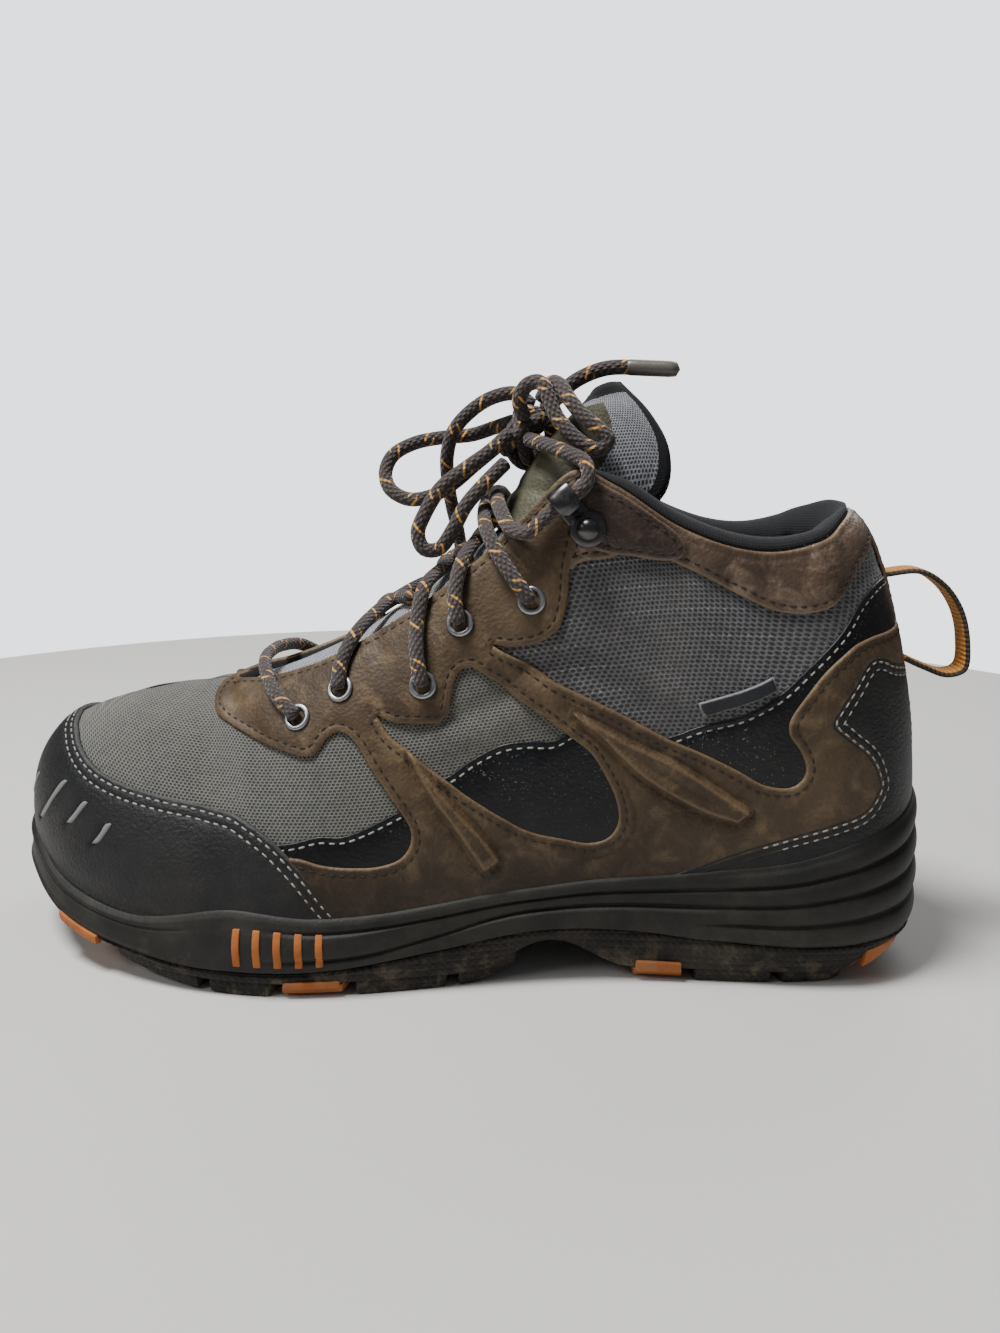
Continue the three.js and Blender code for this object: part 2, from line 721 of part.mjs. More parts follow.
function tongue() {
  const throatRows = [
    [247, 0.9, 0],
    [240, 0.9, 0.5],
    [231, 0.88, 2.5],
    [220, 0.86, 4],
    [206, 0.84, 5],
    [190, 0.8, 5],
    [174, 0.8, 5],
    [159, 0.84, 5],
    [146, 0.88, 4.5],
  ];
  const half = (side) => [
    ...throatRows.map(([s, tuck, crown]) => tongueUnderThroat(s, side, tuck, crown)),
    ...tongueFree.map((row) => tongueFreeRow(row, side)),
  ];
  const [right, left] = [half(inner), half(outer)];
  const front = left.map((row, i) => [...right[i].slice(1).reverse(), ...row]);
  const back = front.map((row, i) =>
    row.map((p, j) => {
      const up = front[Math.min(i + 1, front.length - 1)][j].clone().sub(front[Math.max(i - 1, 0)][j]);
      const along = row[Math.min(j + 1, row.length - 1)].clone().sub(row[Math.max(j - 1, 0)]);
      const thick = tongueThick * (j === 0 || j === row.length - 1 ? 0.5 : 1);
      return p.clone().addScaledVector(up.cross(along).normalize(), thick);
    }),
  );
  return slab(front, back);
}

// ---- pull loop ----------------------------------------------------------

// Webbing sewn to the back of the heel: its path in side view, from the upper end to the lower one.
const pullLoop = { width: 12, thick: 2, path: [[21.7, 126.3], [10, 127.5], [2, 123], [-4, 115], [-7, 105], [-7, 96], [-2, 94], [6, 96.5], [12.2, 99.2]] };

function webbing({ width, thick, path }) {
  const curve = new THREE.SplineCurve(path.map((p) => new THREE.Vector2(...p)));
  const steps = 20;
  const faceOf = (shift) =>
    Array.from({ length: steps + 1 }, (_, i) => {
      const p = curve.getPoint(i / steps);
      const along = curve.getTangent(i / steps);
      return [-1, 1].map((k) => new THREE.Vector3(p.x - along.y * shift, (k * width) / 2, p.y + along.x * shift));
    });
  return slab(faceOf(thick / 2), faceOf(-thick / 2));
}

// ---- laces --------------------------------------------------------------

// The first bar lies over the foot of the throat, from one lowest eyelet to the other.
const laceBar = [
  [204.7, 36.8, 84.3],
  [211.5, 31.5, 89],
  [217, 22, 94],
  [220.5, 10, 95.8],
  [221, 0, 96.2],
  [220.5, -10, 95.8],
  [217, -22, 94],
  [211.5, -31.3, 88.8],
  [204.7, -36.4, 84.2],
];

// Each crossing is given for the strand that starts at the outer eyelet; the other is its mirror.
const laceCrossings = [
  [
    [191.6, 35.7, 93.1],
    [191, 31, 100],
    [188, 25, 107],
    [183, 11, 112.5],
    [179, 0, 114.8],
    [174.5, -10, 117],
    [171.5, -17, 118],
  ],
  [
    [165.4, 40.1, 95.6],
    [167, 38, 104],
    [167.5, 33, 112.5],
    [166, 26.8, 122.6],
    [161.8, 12, 127],
    [159, 0, 129.6],
    [156.3, -10, 131],
    [153.8, -17, 131],
  ],
  [
    [154.9, 36.1, 114.1],
    [156, 34.2, 121.5],
    [154.5, 29, 130.5],
    [150.3, 14, 137],
    [147.5, 0, 140],
    [146, -10, 141.8],
    [144.5, -17, 142.3],
  ],
  [
    [133.5, 38.4, 121.2],
    [138, 38, 127],
    [142.6, 34.6, 133],
    [146, 30, 138.4],
    [148, 23, 142.4],
    [148.6, 12, 146.6],
    [147, 0, 149.8],
    [145, -14, 149.6],
    [143.2, -25, 146.4],
    [139.6, -33.4, 141.6],
    [134.7, -37.3, 140.8],
    [130.2, -37.3, 144.7],
    [124.1, -37.1, 149.9],
    [118.2, -37, 155],
    [118.4, -34.6, 160.2],
    [124, -28, 163.4],
    [130.5, -19, 165.6],
    [135.5, -11, 167],
  ],
];
const mirrored = (points) => points.map(([x, y, z]) => [x, -y, z]);

const laceLoops = [
  [
    [141, -6, 172.5],
    [147, -9, 170.5],
    [155, -12, 168],
    [165, -12.5, 167],
    [174, -11, 165],
    [180.5, -8, 161],
    [182.5, -5, 155.5],
    [180.5, -2, 150.5],
    [174.5, 0, 147.5],
    [167, 1, 148.5],
    [160, 1, 152.5],
    [153, 0, 158.5],
    [147, -1, 163.5],
    [144, -2, 166],
  ],
  [
    [141.4, 9, 168.5],
    [147.5, 11, 163],
    [154.5, 13, 158],
    [162, 15.5, 152],
    [167, 17, 144],
    [169, 18, 138],
    [167, 18.5, 133.5],
    [162.5, 18.5, 133.5],
    [158, 19.5, 139.5],
    [154, 20, 147],
    [149, 18, 153],
    [142.6, 12.5, 159.6],
  ],
  [
    [137, 10, 173.5],
    [138.5, 12.5, 178.5],
    [136, 14.5, 183],
    [132, 16.5, 183.5],
    [129.5, 18.5, 179],
    [127, 20.5, 173.5],
    [122.5, 22.8, 168.5],
    [118, 24.5, 165.2],
    [114, 25, 164.4],
    [111.8, 25, 167],
    [114.8, 24.2, 170.4],
    [119.4, 22.5, 174],
    [123.6, 19.5, 179],
    [126.4, 15.5, 183],
    [129, 11, 183.6],
    [131.8, 7.5, 179],
  ],
];

const laceEnds = [
  [
    [131, 2, 176],
    [127, 3, 179.5],
    [122.5, 4, 184],
    [117, 5, 187],
    [112, 6, 188.5],
    [107.6, 7, 188.8],
  ],
  [
    [135, -1.5, 177.5],
    [140, -3, 181],
    [147, -4, 180],
    [154, -5.5, 176],
    [160, -6, 169.5],
    [162.5, -8, 161.5],
    [162.5, -12, 152],
    [161.5, -18, 143],
    [160.5, -28, 134.5],
    [160, -37, 125],
    [159.5, -42.4, 114],
  ],
];
const aglets = [
  [[106.7, 7.1, 188.8], [91, 9, 188.2]],
  [[159.4, -42.7, 112.8], [158.6, -43.4, 96.5]],
];
const knot = { centre: [136, 1, 168], size: [13.5, 12, 15] };
const laceStep = 2.6 * laceDiameter;

function lengthOf(points) {
  return new THREE.CatmullRomCurve3(points.map((p) => new THREE.Vector3(...p)), false, "centripetal").getLength();
}

const lace = (points) => roundBar(points, laceDiameter, Math.round(lengthOf(points) / laceStep));

// ---- assembly -----------------------------------------------------------

const boot = new THREE.Group();
const finish = (color, roughness, metalness = 0) => new THREE.MeshStandardMaterial({ color, roughness, metalness });
const rubber = finish(0x34332f, 0.85);
const leather = finish(0x5e5240, 0.8);
const blackLeather = finish(0x1f2126, 0.7);
const lining = finish(0x5c605c, 0.95);
const footLining = finish(0x17181a, 0.95);
const orangeRubber = finish(0xb5652c, 0.7);
const steel = finish(0x9c9a94, 0.35, 1);
const orangeCloth = finish(0xa8702a, 0.9);
const cord = finish(0x3a3230, 0.85);
const clearPlastic = finish(0x8f8d88, 0.4);

function add(name, geometry, material) {
  const mesh = new THREE.Mesh(geometry, material);
  mesh.name = name;
  boot.add(mesh);
  return mesh;
}

const eyeletHoles = sides.flatMap((side) => eyeletPlaces.map(([s, t]) => eyeletHole(s, t, side)));
const upper = eyeletHoles.reduce((body, hole) => body.subtract(solidOf(hole)), solidOf(upperShell()));
add("upper", geometryOf(upper), leather);
add("midsole", loftRound(midsoleSection), rubber);
add("outsole", outsole(), rubber);
add("insole", loftRound(insoleSection), footLining);
add("tongue", tongue(), lining);
add("toe_cap", overlay(toeCapOutline), blackLeather);
add("heel_counter", overlay(counterOutline), blackLeather);
for (const side of sides) {
  const label = side === outer ? "outer" : "inner";
  eyeletPlaces.forEach(([s, t], i) => add(`eyelet_${label}_${i + 1}`, eyeletRing(s, t, side), steel));
  insertLugs.forEach(([s0, s1, depth], i) =>
    add(`lug_insert_${label}_${i + 1}`, edgeLug(s0, s1, side, depth, { raise: 0.8, sunk: -gap - 0.2, shrink: 0.3 }), orangeRubber),
  );
}

sides.forEach((side, i) => add(["hook_outer", "hook_inner"][i], laceHook(side), steel));
add("pull_loop", webbing(pullLoop), orangeCloth);
add("lace_bar", lace(laceBar), cord);
laceCrossings.forEach((line, i) => add(`lace_crossing_${i + 1}`, joined([lace(line), lace(mirrored(line))]), cord));
add("lace_knot", new THREE.SphereGeometry(0.5, 10, 7).scale(...knot.size).translate(...knot.centre), cord);
laceLoops.forEach((line, i) => add(`lace_loop_${i + 1}`, lace(line), cord));
laceEnds.forEach((line, i) => add(`lace_end_${i + 1}`, lace(line), cord));
aglets.forEach((line, i) => add(`aglet_${i + 1}`, roundBar(line, agletDiameter, 2), clearPlastic));

// The origin lies at the middle of the boot's own box, without the free lace, on the ground.
const freeLace = /^(lace_(knot|loop|end)|aglet)/;
const box = new THREE.Box3();
for (const mesh of boot.children) if (!freeLace.test(mesh.name)) box.expandByObject(mesh);
const centre = box.getCenter(new THREE.Vector3());
boot.position.set(-centre.x, -centre.y, -box.min.z);

export default boot;
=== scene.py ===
import math

import bmesh
import bpy
import numpy as np
from mathutils import Matrix, Vector
from mathutils.geometry import delaunay_2d_cdt
from mathutils.kdtree import KDTree
from numpy.linalg import norm


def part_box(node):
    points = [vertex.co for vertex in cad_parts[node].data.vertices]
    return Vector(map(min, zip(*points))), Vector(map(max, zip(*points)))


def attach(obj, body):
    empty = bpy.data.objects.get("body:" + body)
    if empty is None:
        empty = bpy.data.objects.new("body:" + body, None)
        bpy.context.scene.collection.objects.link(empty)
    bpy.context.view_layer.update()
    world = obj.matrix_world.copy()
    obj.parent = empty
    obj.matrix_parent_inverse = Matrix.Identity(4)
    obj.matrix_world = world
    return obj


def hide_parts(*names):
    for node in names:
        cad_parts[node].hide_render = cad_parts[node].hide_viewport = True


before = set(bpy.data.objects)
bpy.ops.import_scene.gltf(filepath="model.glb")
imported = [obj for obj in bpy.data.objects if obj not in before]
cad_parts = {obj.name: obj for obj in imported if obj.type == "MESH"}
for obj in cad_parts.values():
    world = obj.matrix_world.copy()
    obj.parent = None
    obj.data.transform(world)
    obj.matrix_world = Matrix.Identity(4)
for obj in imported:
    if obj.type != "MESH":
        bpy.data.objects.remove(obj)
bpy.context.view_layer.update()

# The last: the same form that the part is lofted from, in millimetres, heel at x = 0.
outer, inner = 1, -1
sides = (outer, inner)
toeTip = 350.0
throatBase = 240.0
gap = 0.35
wall = 3.0
collarPad = 6.0

# s, then x and half widths of the feather edge, then x, half width and z of the top edge
lastRows = [
    [0, 9, 0, 0, 36, 0, 146.5],
    [15, 11.5, 14.5, 14.5, 37.5, 12, 146],
    [30, 18.5, 26, 26, 42.5, 22, 143],
    [45, 30, 32, 32, 49, 29.5, 139],
    [60, 44, 34, 34, 62, 32, 136],
    [90, 73, 35, 32, 91, 33, 143],
    [108, 91, 35.3, 30, 110, 32, 154.5],
    [120, 102.5, 36, 29.5, 121, 30.5, 158.5],
    [135, 117, 37, 29.5, 134.5, 29, 146],
    [150, 132, 39, 31, 148, 27.5, 132.5],
    [180, 162, 45, 37, 175, 25, 111.5],
    [210, 192, 49.5, 44.5, 202, 21.5, 96],
    [225, 207, 51, 47.5, 219, 16, 90],
    [236, 218, 51, 49, 230, 8, 87.8],
    [240, 222, 50.8, 49.4, 232.5, 0, 87],
    [252, 234, 49.5, 49.8, 240.5, 0, 86],
    [265, 246.5, 46.8, 49, 249, 0, 84.9],
    [285, 265, 40.5, 45.5, 260, 0, 83],
    [305, 282, 30.5, 38.5, 268.5, 0, 80.9],
    [320, 293, 20, 30, 274, 0, 79.2],
    [335, 301.3, 8, 19.5, 277.5, 0, 77.9],
    [350, 304, -6, 6, 279, 0, 77.3],
]

# s, then rise and lean of the lower handle, then x, outward and z of the upper one
fullnessRows = [
    [0, 38, 3, -17, 0, -9],
    [15, 38, 3, -14.5, 6, -10],
    [30, 38, 3, -8, 9, -16],
    [45, 38, 3, -2, 9, -25],
    [60, 38, 3, 0, 7, -34],
    [90, 36, 3, 0, 6, -36],
    [108, 34, 3, 0, 7, -34],
    [135, 33, 3, 0, 10, -30],
    [150, 32, 3, 0, 12, -26],
    [180, 30, 4, 0, 16, -17],
    [210, 27, 4, 0, 19, -11],
    [225, 26, 4, 0, 22, -8],
    [240, 25, 4, 0, 27, -1],
    [265, 26, 4, 3, 28, -1],
    [285, 27, 4, 8, 26, -3],
    [305, 28, 4, 14, 21, -4.4],
    [320, 28, 4, 17, 15, -5.8],
    [350, 28, 3, 20, 0, -7],
]

# s, then how far the sole stands out at its widest and at the ground, rim height, and split height
soleRows = [
    [0, 5.5, -4, 60, 17],
    [30, 6, -3, 54, 16],
    [60, 6, 1, 43.5, 14],
    [90, 4.5, 1.5, 38, 15],
    [120, 3.5, 0, 35, 18],
    [150, 3.5, -1, 32, 18],
    [180, 4, 2, 28, 13],
    [210, 5, 4, 24.5, 8.5],
    [240, 5.5, 4, 26.5, 8],
    [255, 5.5, 3, 24, 8.5],
    [270, 5.5, 2, 21.5, 10.5],
    [305, 5.5, 0, 26, 17],
    [330, 5, -0.5, 35.5, 24.5],
    [350, 5, -0.5, 39.5, 27.5],
]


def smooth(low, high, v):
    k = np.clip((np.asarray(v, float) - low) / (high - low), 0, 1)
    return k * k * (3 - 2 * k)


def lerp(a, b, k):
    return a + (b - a) * k


def unit(v, floor=0.0):
    return v / (norm(v, axis=-1, keepdims=True) + floor)


def bezier(a, b, c, d, k):
    u = 1 - k
    return u**3 * a + 3 * u * u * k * b + 3 * u * k * k * c + k**3 * d


def runAlong(points, axis=0):  # the length gone so far along the rows or the columns of points
    gone = np.cumsum(norm(np.diff(points, axis=axis), axis=-1), axis=axis)
    return np.concatenate([np.zeros_like(gone.take([0], axis)), gone], axis)


def tableCurve(rows):
    rows = np.array(rows, float)
    x, v = rows[:, 0], rows[:, 1:]
    step = np.diff(x)[:, None]
    rise = np.diff(v, axis=0) / step
    bend = (rise[:-1] * step[1:] + rise[1:] * step[:-1]) / (step[1:] + step[:-1])
    slope = np.vstack([rise[:1], bend, rise[-1:]])

    def at(s):
        s = np.asarray(s, float).ravel()
        i = np.searchsorted(x[1:-1], s, side="left")
        h = step[i]
        t = ((s - x[i]) / h[:, 0])[:, None]
        return (
            (2 * t**3 - 3 * t**2 + 1) * v[i]
            + (t**3 - 2 * t**2 + t) * h * slope[i]
            + (3 * t**2 - 2 * t**3) * v[i + 1]
            + (t**3 - t**2) * h * slope[i + 1]
        )

    return at


def mirroredEnds(rows):
    def turned(s, row):
        return [s, row[1], -row[3], -row[2], row[4], -row[5], row[6]]

    return [turned(-rows[1][0], rows[1]), *rows, turned(2 * toeTip - rows[-2][0], rows[-2])]


def evenEnds(rows):
    return [[-rows[1][0], *rows[1][1:]], *rows, [2 * toeTip - rows[-2][0], *rows[-2][1:]]]


lastAt = tableCurve(mirroredEnds(lastRows))
fullnessAt = tableCurve(evenEnds(fullnessRows))
soleAt = tableCurve(evenEnds(soleRows))


def footbed(x):
    x = np.asarray(x, float)
    return lerp(30, 14, smooth(60, 200, x)) + 15 * np.maximum(0, (x - 215) / 92) ** 2.2


def ground(x):
    x = np.asarray(x, float)
    bevel = 12 * np.maximum(0, (36 - x) / 29) ** 1.2
    arch = 9 * np.sin(np.pi * np.clip((x - 99) / 52, 0, 1)) ** 2
    return bevel + arch + 22 * np.maximum(0, (x - 222) / 86) ** 1.8


def featherAt(s, side):
    row = lastAt(s)
    y = np.where(side == outer, row[:, 1], -row[:, 2])
    return np.stack([row[:, 0], y, footbed(row[:, 0])], 1)


def outwardAt(s, side):
    s = np.asarray(s, float).ravel()
    d = featherAt(s + 0.5, side) - featherAt(s - 0.5, side)
    out = unit(np.stack([-side * d[:, 1], side * d[:, 0], 0 * s], 1))
    out[s <= 0] = (-1, 0, 0)
    out[s >= toeTip] = (1, 0, 0)
    return out


def plainSkin(s, t, side):
    row, full = lastAt(s), fullnessAt(s)
    foot = featherAt(s, side)
    top = np.stack([row[:, 3], side * np.where(s < throatBase, row[:, 4], 0), row[:, 5]], 1)
    low = foot + outwardAt(s, side) * full[:, 1:2]
    low[:, 2] += full[:, 0]
    high = top + np.stack([full[:, 2], side * full[:, 3], full[:, 4]], 1)
    return bezier(foot, low, high, top, t[:, None])


def skinAt(s, t, side):
    s, t = (np.array(a, float).ravel() for a in np.broadcast_arrays(s, t))
    side = np.broadcast_to(side, s.shape)
    p = plainSkin(s, t, side)
    share = np.exp(-(((s - throatBase + 1) / 9) ** 2)) * (1 - smooth(0.8, 0.98, t))
    near = share > 0.01
    if near.any():  # the vamp runs on smoothly in front of the throat
        around = [plainSkin(s[near] + d, t[near], side[near]) for d in (-12, -8, -4, 0, 4, 8, 12)]
        p[near] += (np.mean(around, axis=0) - p[near]) * share[near][:, None]
    return p


def sideNormal(s, t, side):
    up = skinAt(s, np.minimum(1, t + 0.01), side) - skinAt(s, np.maximum(0, t - 0.01), side)
    ahead, behind = np.minimum(toeTip - 0.001, s + 0.5), np.maximum(0.001, s - 0.5)
    along = skinAt(ahead, t, side) - skinAt(behind, t, side)
    return unit(np.cross(up, along) * np.broadcast_to(side, s.shape)[:, None], 1e-12)


def normalAt(s, t, side):
    s, t = (np.array(a, float).ravel() for a in np.broadcast_arrays(s, t))
    n = sideNormal(s, t, side)
    mid = (s <= 0) | (s >= toeTip) | ((t >= 1) & (s >= throatBase))
    if mid.any():
        both = sideNormal(s[mid], t[mid], outer) + sideNormal(s[mid], t[mid], inner)
        both[:, 1] = 0
        n[mid] = unit(both, 1e-12)
    return np.nan_to_num(n)


# Where the part's frame lies from the last's: found from the upper's own box.
upperLow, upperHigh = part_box("upper")
upperStations = [
    0, 10, 20, 31, 43, 58, 74, 90, 102, 112, 120, 129, 139, 151, 164, 178, 193, 208, 221, 231, 240, 252,
    265, 279, 293, 307, 319, 331, 341, 350,
]
upperLevels = [0, 0.11, 0.22, 0.34, 0.46, 0.58, 0.69, 0.79, 0.87, 0.94, 1]
hull = skinAt(*np.meshgrid(upperStations, upperLevels), outer)
shift = np.array([upperLow.x * 1000 - hull[:, 0].min(), upperHigh.y * 1000 - hull[:, 1].max(), 0])


def place(points):
    return (np.asarray(points, float) + shift) * 0.001


# Soft troughs (depth below 0) and swellings on the upper: from (s, t) to (s, t), half width and depth.
# All are in mm but t.
creases = {
    "ankle fold": [(148, 0.66), (106, 0.49), 3.2, -1.5],
    "ankle swell": [(146, 0.72), (92, 0.52), 6, 1.3],
    "ankle fold above": [(126, 0.65), (92, 0.60), 5, -0.7],
    "side fold": [(176, 0.60), (140, 0.60), 2.6, -1.0],
    "side swell": [(176, 0.555), (146, 0.53), 4, 0.9],
    "flex line": [(219, 0.5), (238, 0.96), 5, -1.2],
    "flex swell": [(230, 0.5), (249, 0.98), 7, 0.9],
    "second flex line": [(238, 0.52), (260, 1), 6, -0.8],
    "vamp swell": [(262, 0.62), (290, 0.85), 13, 0.8],
    "collar wrinkle 1": [(88, 0.9), (84, 0.99), 1.3, -0.7],
    "collar wrinkle 2": [(76, 0.9), (74, 0.99), 1.5, -0.8],
    "collar wrinkle 3": [(66, 0.88), (62, 0.98), 1.4, -0.7],
    "collar wrinkle 4": [(54, 0.86), (50, 0.97), 1.6, -0.8],
    "collar wrinkle 5": [(36, 0.85), (33, 0.97), 1.4, -0.5],
    "heel fold": [(34, 0.70), (6, 0.66), 3, -0.9],
    "heel fold above": [(30, 0.79), (5, 0.76), 2.6, -0.6],
    "facing wrinkle 1": [(152, 0.82), (146, 0.98), 1.5, -0.7],
    "facing wrinkle 2": [(164, 0.84), (168, 0.99), 1.4, -0.6],
    "facing wrinkle 3": [(182, 0.76), (186, 0.98), 1.7, -0.7],
    "arm wrinkle 1": [(150, 0.62), (133, 0.64), 1.6, -0.6],
    "arm wrinkle 2": [(137, 0.44), (128, 0.51), 1.4, -0.4],
    "lower wrinkle": [(196, 0.2), (176, 0.12), 2.4, -0.6],
    "lower wrinkle 2": [(150, 0.16), (122, 0.1), 2.6, -0.5],
}
patternHeight = 110.0  # mm that t = 1 counts for when distances are measured on the pattern


def nearSegment(s, t, a, b):
    p = np.stack([s, t * patternHeight], 1)
    a, b = np.array([a[0], a[1] * patternHeight]), np.array([b[0], b[1] * patternHeight])
    k = np.clip(((p - a) @ (b - a)) / ((b - a) @ (b - a)), 0, 1)
    return norm(p - a - k[:, None] * (b - a), axis=1), k


def reliefAt(s, t, side):
    total = 0.25 * np.sin(s * 0.11 + side) * np.sin(t * 9 + s * 0.05) * smooth(0.05, 0.3, t)
    for a, b, width, depth in creases.values():
        away, k = nearSegment(s, t, a, b)
        total = total + depth * np.exp(-((away / width) ** 2)) * np.sin(np.pi * (0.15 + 0.7 * k))
    return total * smooth(0, 12, s) * (1 - smooth(338, 350, s))


def surfaceAt(s, t, side, height=0.0):
    s, t = (np.array(a, float).ravel() for a in np.broadcast_arrays(s, t))
    lift = np.broadcast_to(height, s.shape) + reliefAt(s, t, side)
    return skinAt(s, t, side) + normalAt(s, t, side) * lift[:, None]


# Camera and lights come first.
cameraPlace = {"at": (129, 327, 168), "turn": 2.6, "down": 13.0, "roll": 0.75, "lens": 27.03}


def makeCamera():
    data = bpy.data.cameras.new("camera")
    data.lens = cameraPlace["lens"]
    data.sensor_width = 36
    data.clip_start = 0.01
    camera = bpy.data.objects.new("camera", data)
    bpy.context.scene.collection.objects.link(camera)
    turn, down, roll = (math.radians(cameraPlace[k]) for k in ("turn", "down", "roll"))
    ahead = Vector((math.sin(turn) * math.cos(down), -math.cos(turn) * math.cos(down), -math.sin(down)))
    right = ahead.cross(Vector((0, 0, 1))).normalized()
    up = right.cross(ahead)
    across = math.cos(roll) * right + math.sin(roll) * up
    above = -math.sin(roll) * right + math.cos(roll) * up
    turned = Matrix((across, above, -ahead)).transposed().to_4x4()
    camera.matrix_world = Matrix.Translation(Vector(place([cameraPlace["at"]])[0])) @ turned
    bpy.context.scene.camera = camera


def makeLight(name, at, size, power, colour=(1, 1, 1)):
    data = bpy.data.lights.new(name, "AREA")
    data.shape = "DISK"
    data.size = size
    data.energy = power
    data.color = colour
    light = bpy.data.objects.new(name, data)
    bpy.context.scene.collection.objects.link(light)
    light.location = at
    light.rotation_euler = (Vector((0, 0, 0.06)) - Vector(at)).to_track_quat("-Z", "Y").to_euler()


makeCamera()
makeLight("key light", (0.42, 0.2, 1.3), 0.42, 29)
makeLight("side light", (0.95, 0.62, 0.95), 0.4, 4.4, (1, 0.98, 0.95))
makeLight("back light", (-0.5, -0.9, 0.9), 0.9, 7)
print("camera and lights made")


# A wire is a socket that sums can be written with, each of them a Math node.
class Wire:
    def __init__(self, socket):
        self.socket = socket
        self.tree = socket.id_data

    def calc(self, operation, other=0.0, clip=False):
        return outOf(self.tree, "ShaderNodeMath", 0, {0: self, 1: other}, operation=operation, use_clamp=clip)

    def clipped(self):  # kept between 0 and 1
        return self.calc("ADD", 0.0, clip=True)

    def __add__(self, other):
        return self.calc("ADD", other)

    def __sub__(self, other):
        return self.calc("SUBTRACT", other)

    def __rsub__(self, other):
        return outOf(self.tree, "ShaderNodeMath", 0, {0: other, 1: self}, operation="SUBTRACT")

    def __mul__(self, other):
        return self.calc("MULTIPLY", other)

    def __truediv__(self, other):
        return self.calc("DIVIDE", other)

    def step(self, low, high):  # rises smoothly from 0 at low to 1 at high
        return outOf(
            self.tree, "ShaderNodeMapRange", 0, {0: self, 1: low, 2: high}, interpolation_type="SMOOTHSTEP",
        )

    def mix(self, a, b):  # colour a where the wire is 0, b where it is 1
        return outOf(self.tree, "ShaderNodeMix", 2, {0: self, 6: a, 7: b}, data_type="RGBA")

    def axis(self, name):
        return outOf(self.tree, "ShaderNodeSeparateXYZ", name, {0: self})

    def noise(self, scale, detail=3.0, rough=0.55, warp=0.0):
        takes = {"Vector": self, "Scale": scale, "Detail": detail, "Roughness": rough, "Distortion": warp}
        return outOf(self.tree, "ShaderNodeTexNoise", "Fac", takes)


def tone(r, g, b):
    return tuple(((c / 255 + 0.055) / 1.055) ** 2.4 if c > 10 else c / 3294 for c in (r, g, b)) + (1.0,)


def feed(node, inputs):
    for key, value in inputs.items():
        value = getattr(value, "socket", value)
        if isinstance(value, bpy.types.NodeSocket):
            node.id_data.links.new(value, node.inputs[key])
        else:
            node.inputs[key].default_value = value


def addNode(tree, kind, inputs, **settings):
    made = tree.nodes.new(kind)
    for key, value in settings.items():
        setattr(made, key, value)
    feed(made, inputs)
    return made


def outOf(tree, kind, output, inputs, **settings):
    return Wire(addNode(tree, kind, inputs, **settings).outputs[output])


def newGroup(name, takes, gives):  # a number stands for a float input with that value
    tree = bpy.data.node_groups.new(name, "ShaderNodeTree")
    for label, value in takes.items():
        kind = value if isinstance(value, str) else "Float"
        socket = tree.interface.new_socket(label, in_out="INPUT", socket_type="NodeSocket" + kind)
        if kind == "Float":
            socket.default_value = value
    for label, kind in gives.items():
        tree.interface.new_socket(label, in_out="OUTPUT", socket_type="NodeSocket" + kind)
    given = {socket.name: Wire(socket) for socket in tree.nodes.new("NodeGroupInput").outputs}
    return tree, given, tree.nodes.new("NodeGroupOutput")


def buildMudGroup():
    takes = {"Colour": "Color", "Vector": "Vector", "Dust": 0.3, "Splash": 0.3, "Reach": 0.05}
    tree, given, out = newGroup("dried mud", takes, {"Colour": "Color", "Mask": "Float", "Height": "Float"})
    where = given["Vector"]
    low = (1 - where.axis("Z") / given["Reach"]).clipped()
    cloud = where.noise(38, 6, 0.62).step(0.38, 0.72)
    speck = where.noise(420, 4, 0.7).step(0.6, 0.74)
    fine = where.noise(1500, 2, 0.7).step(0.5, 0.8)
    splash = low * where.noise(95, 8, 0.68, 0.4).step(0.47, 0.63) * given["Splash"]
    dust = (cloud * 0.6 + speck * 0.5) * given["Dust"]
    dust = dust * (fine * 0.6 + 0.55)
    mask = dust.calc("MAXIMUM", splash).clipped()
    shade = cloud.mix(tone(118, 104, 84), tone(150, 138, 116))
    feed(out, {"Colour": mask.mix(given["Colour"], shade), "Mask": mask, "Height": splash * 0.6})
    return tree


def buildRubAndHighlightGroup():
    takes = {
        "Colour": "Color", "Rubbed and lit": "Color", "Vector": "Vector", "Distance": 5.0, "Width": 1.5,
        "Amount": 0.6,
    }
    tree, given, out = newGroup("rubbed edges and highlights", takes, {"Colour": "Color"})
    # pale near rubbed panel edges, and along the ridge crests of the leather, where the pale line is a
    # painted highlight
    reach = given["Width"] * (given["Vector"].noise(260, 5, 0.65) * 2.0)
    mask = (1 - given["Distance"] / reach).clipped() * given["Amount"]
    feed(out, {"Colour": mask.mix(given["Colour"], given["Rubbed and lit"])})
    return tree


def buildWeaveGroup():
    takes = {"UV": "Vector", "Pitch": 1.3, "Squash": 0.8, "Hole": 0.3}
    tree, given, out = newGroup("knitted mesh", takes, {"Hole": "Float", "Height": "Float", "Yarn": "Float"})
    row = given["UV"].axis("Y") / (given["Pitch"] * given["Squash"])
    line = row.calc("FLOOR")
    column = given["UV"].axis("X") / given["Pitch"] + line.calc("ABSOLUTE").calc("MODULO", 2.0) * 0.5
    du = column.calc("FRACT") - 0.5
    dv = row.calc("FRACT") - 0.5
    away = (du * du + dv * dv * 0.8).calc("SQRT")
    hole = 1 - away.step(given["Hole"] * 0.7, given["Hole"] * 1.35)
    cell = outOf(tree, "ShaderNodeCombineXYZ", 0, {0: column.calc("FLOOR"), 1: line})
    yarn = outOf(tree, "ShaderNodeTexWhiteNoise", "Value", {"Vector": cell}, noise_dimensions="2D")
    feed(out, {"Hole": hole, "Height": 1 - hole, "Yarn": yarn})
    return tree


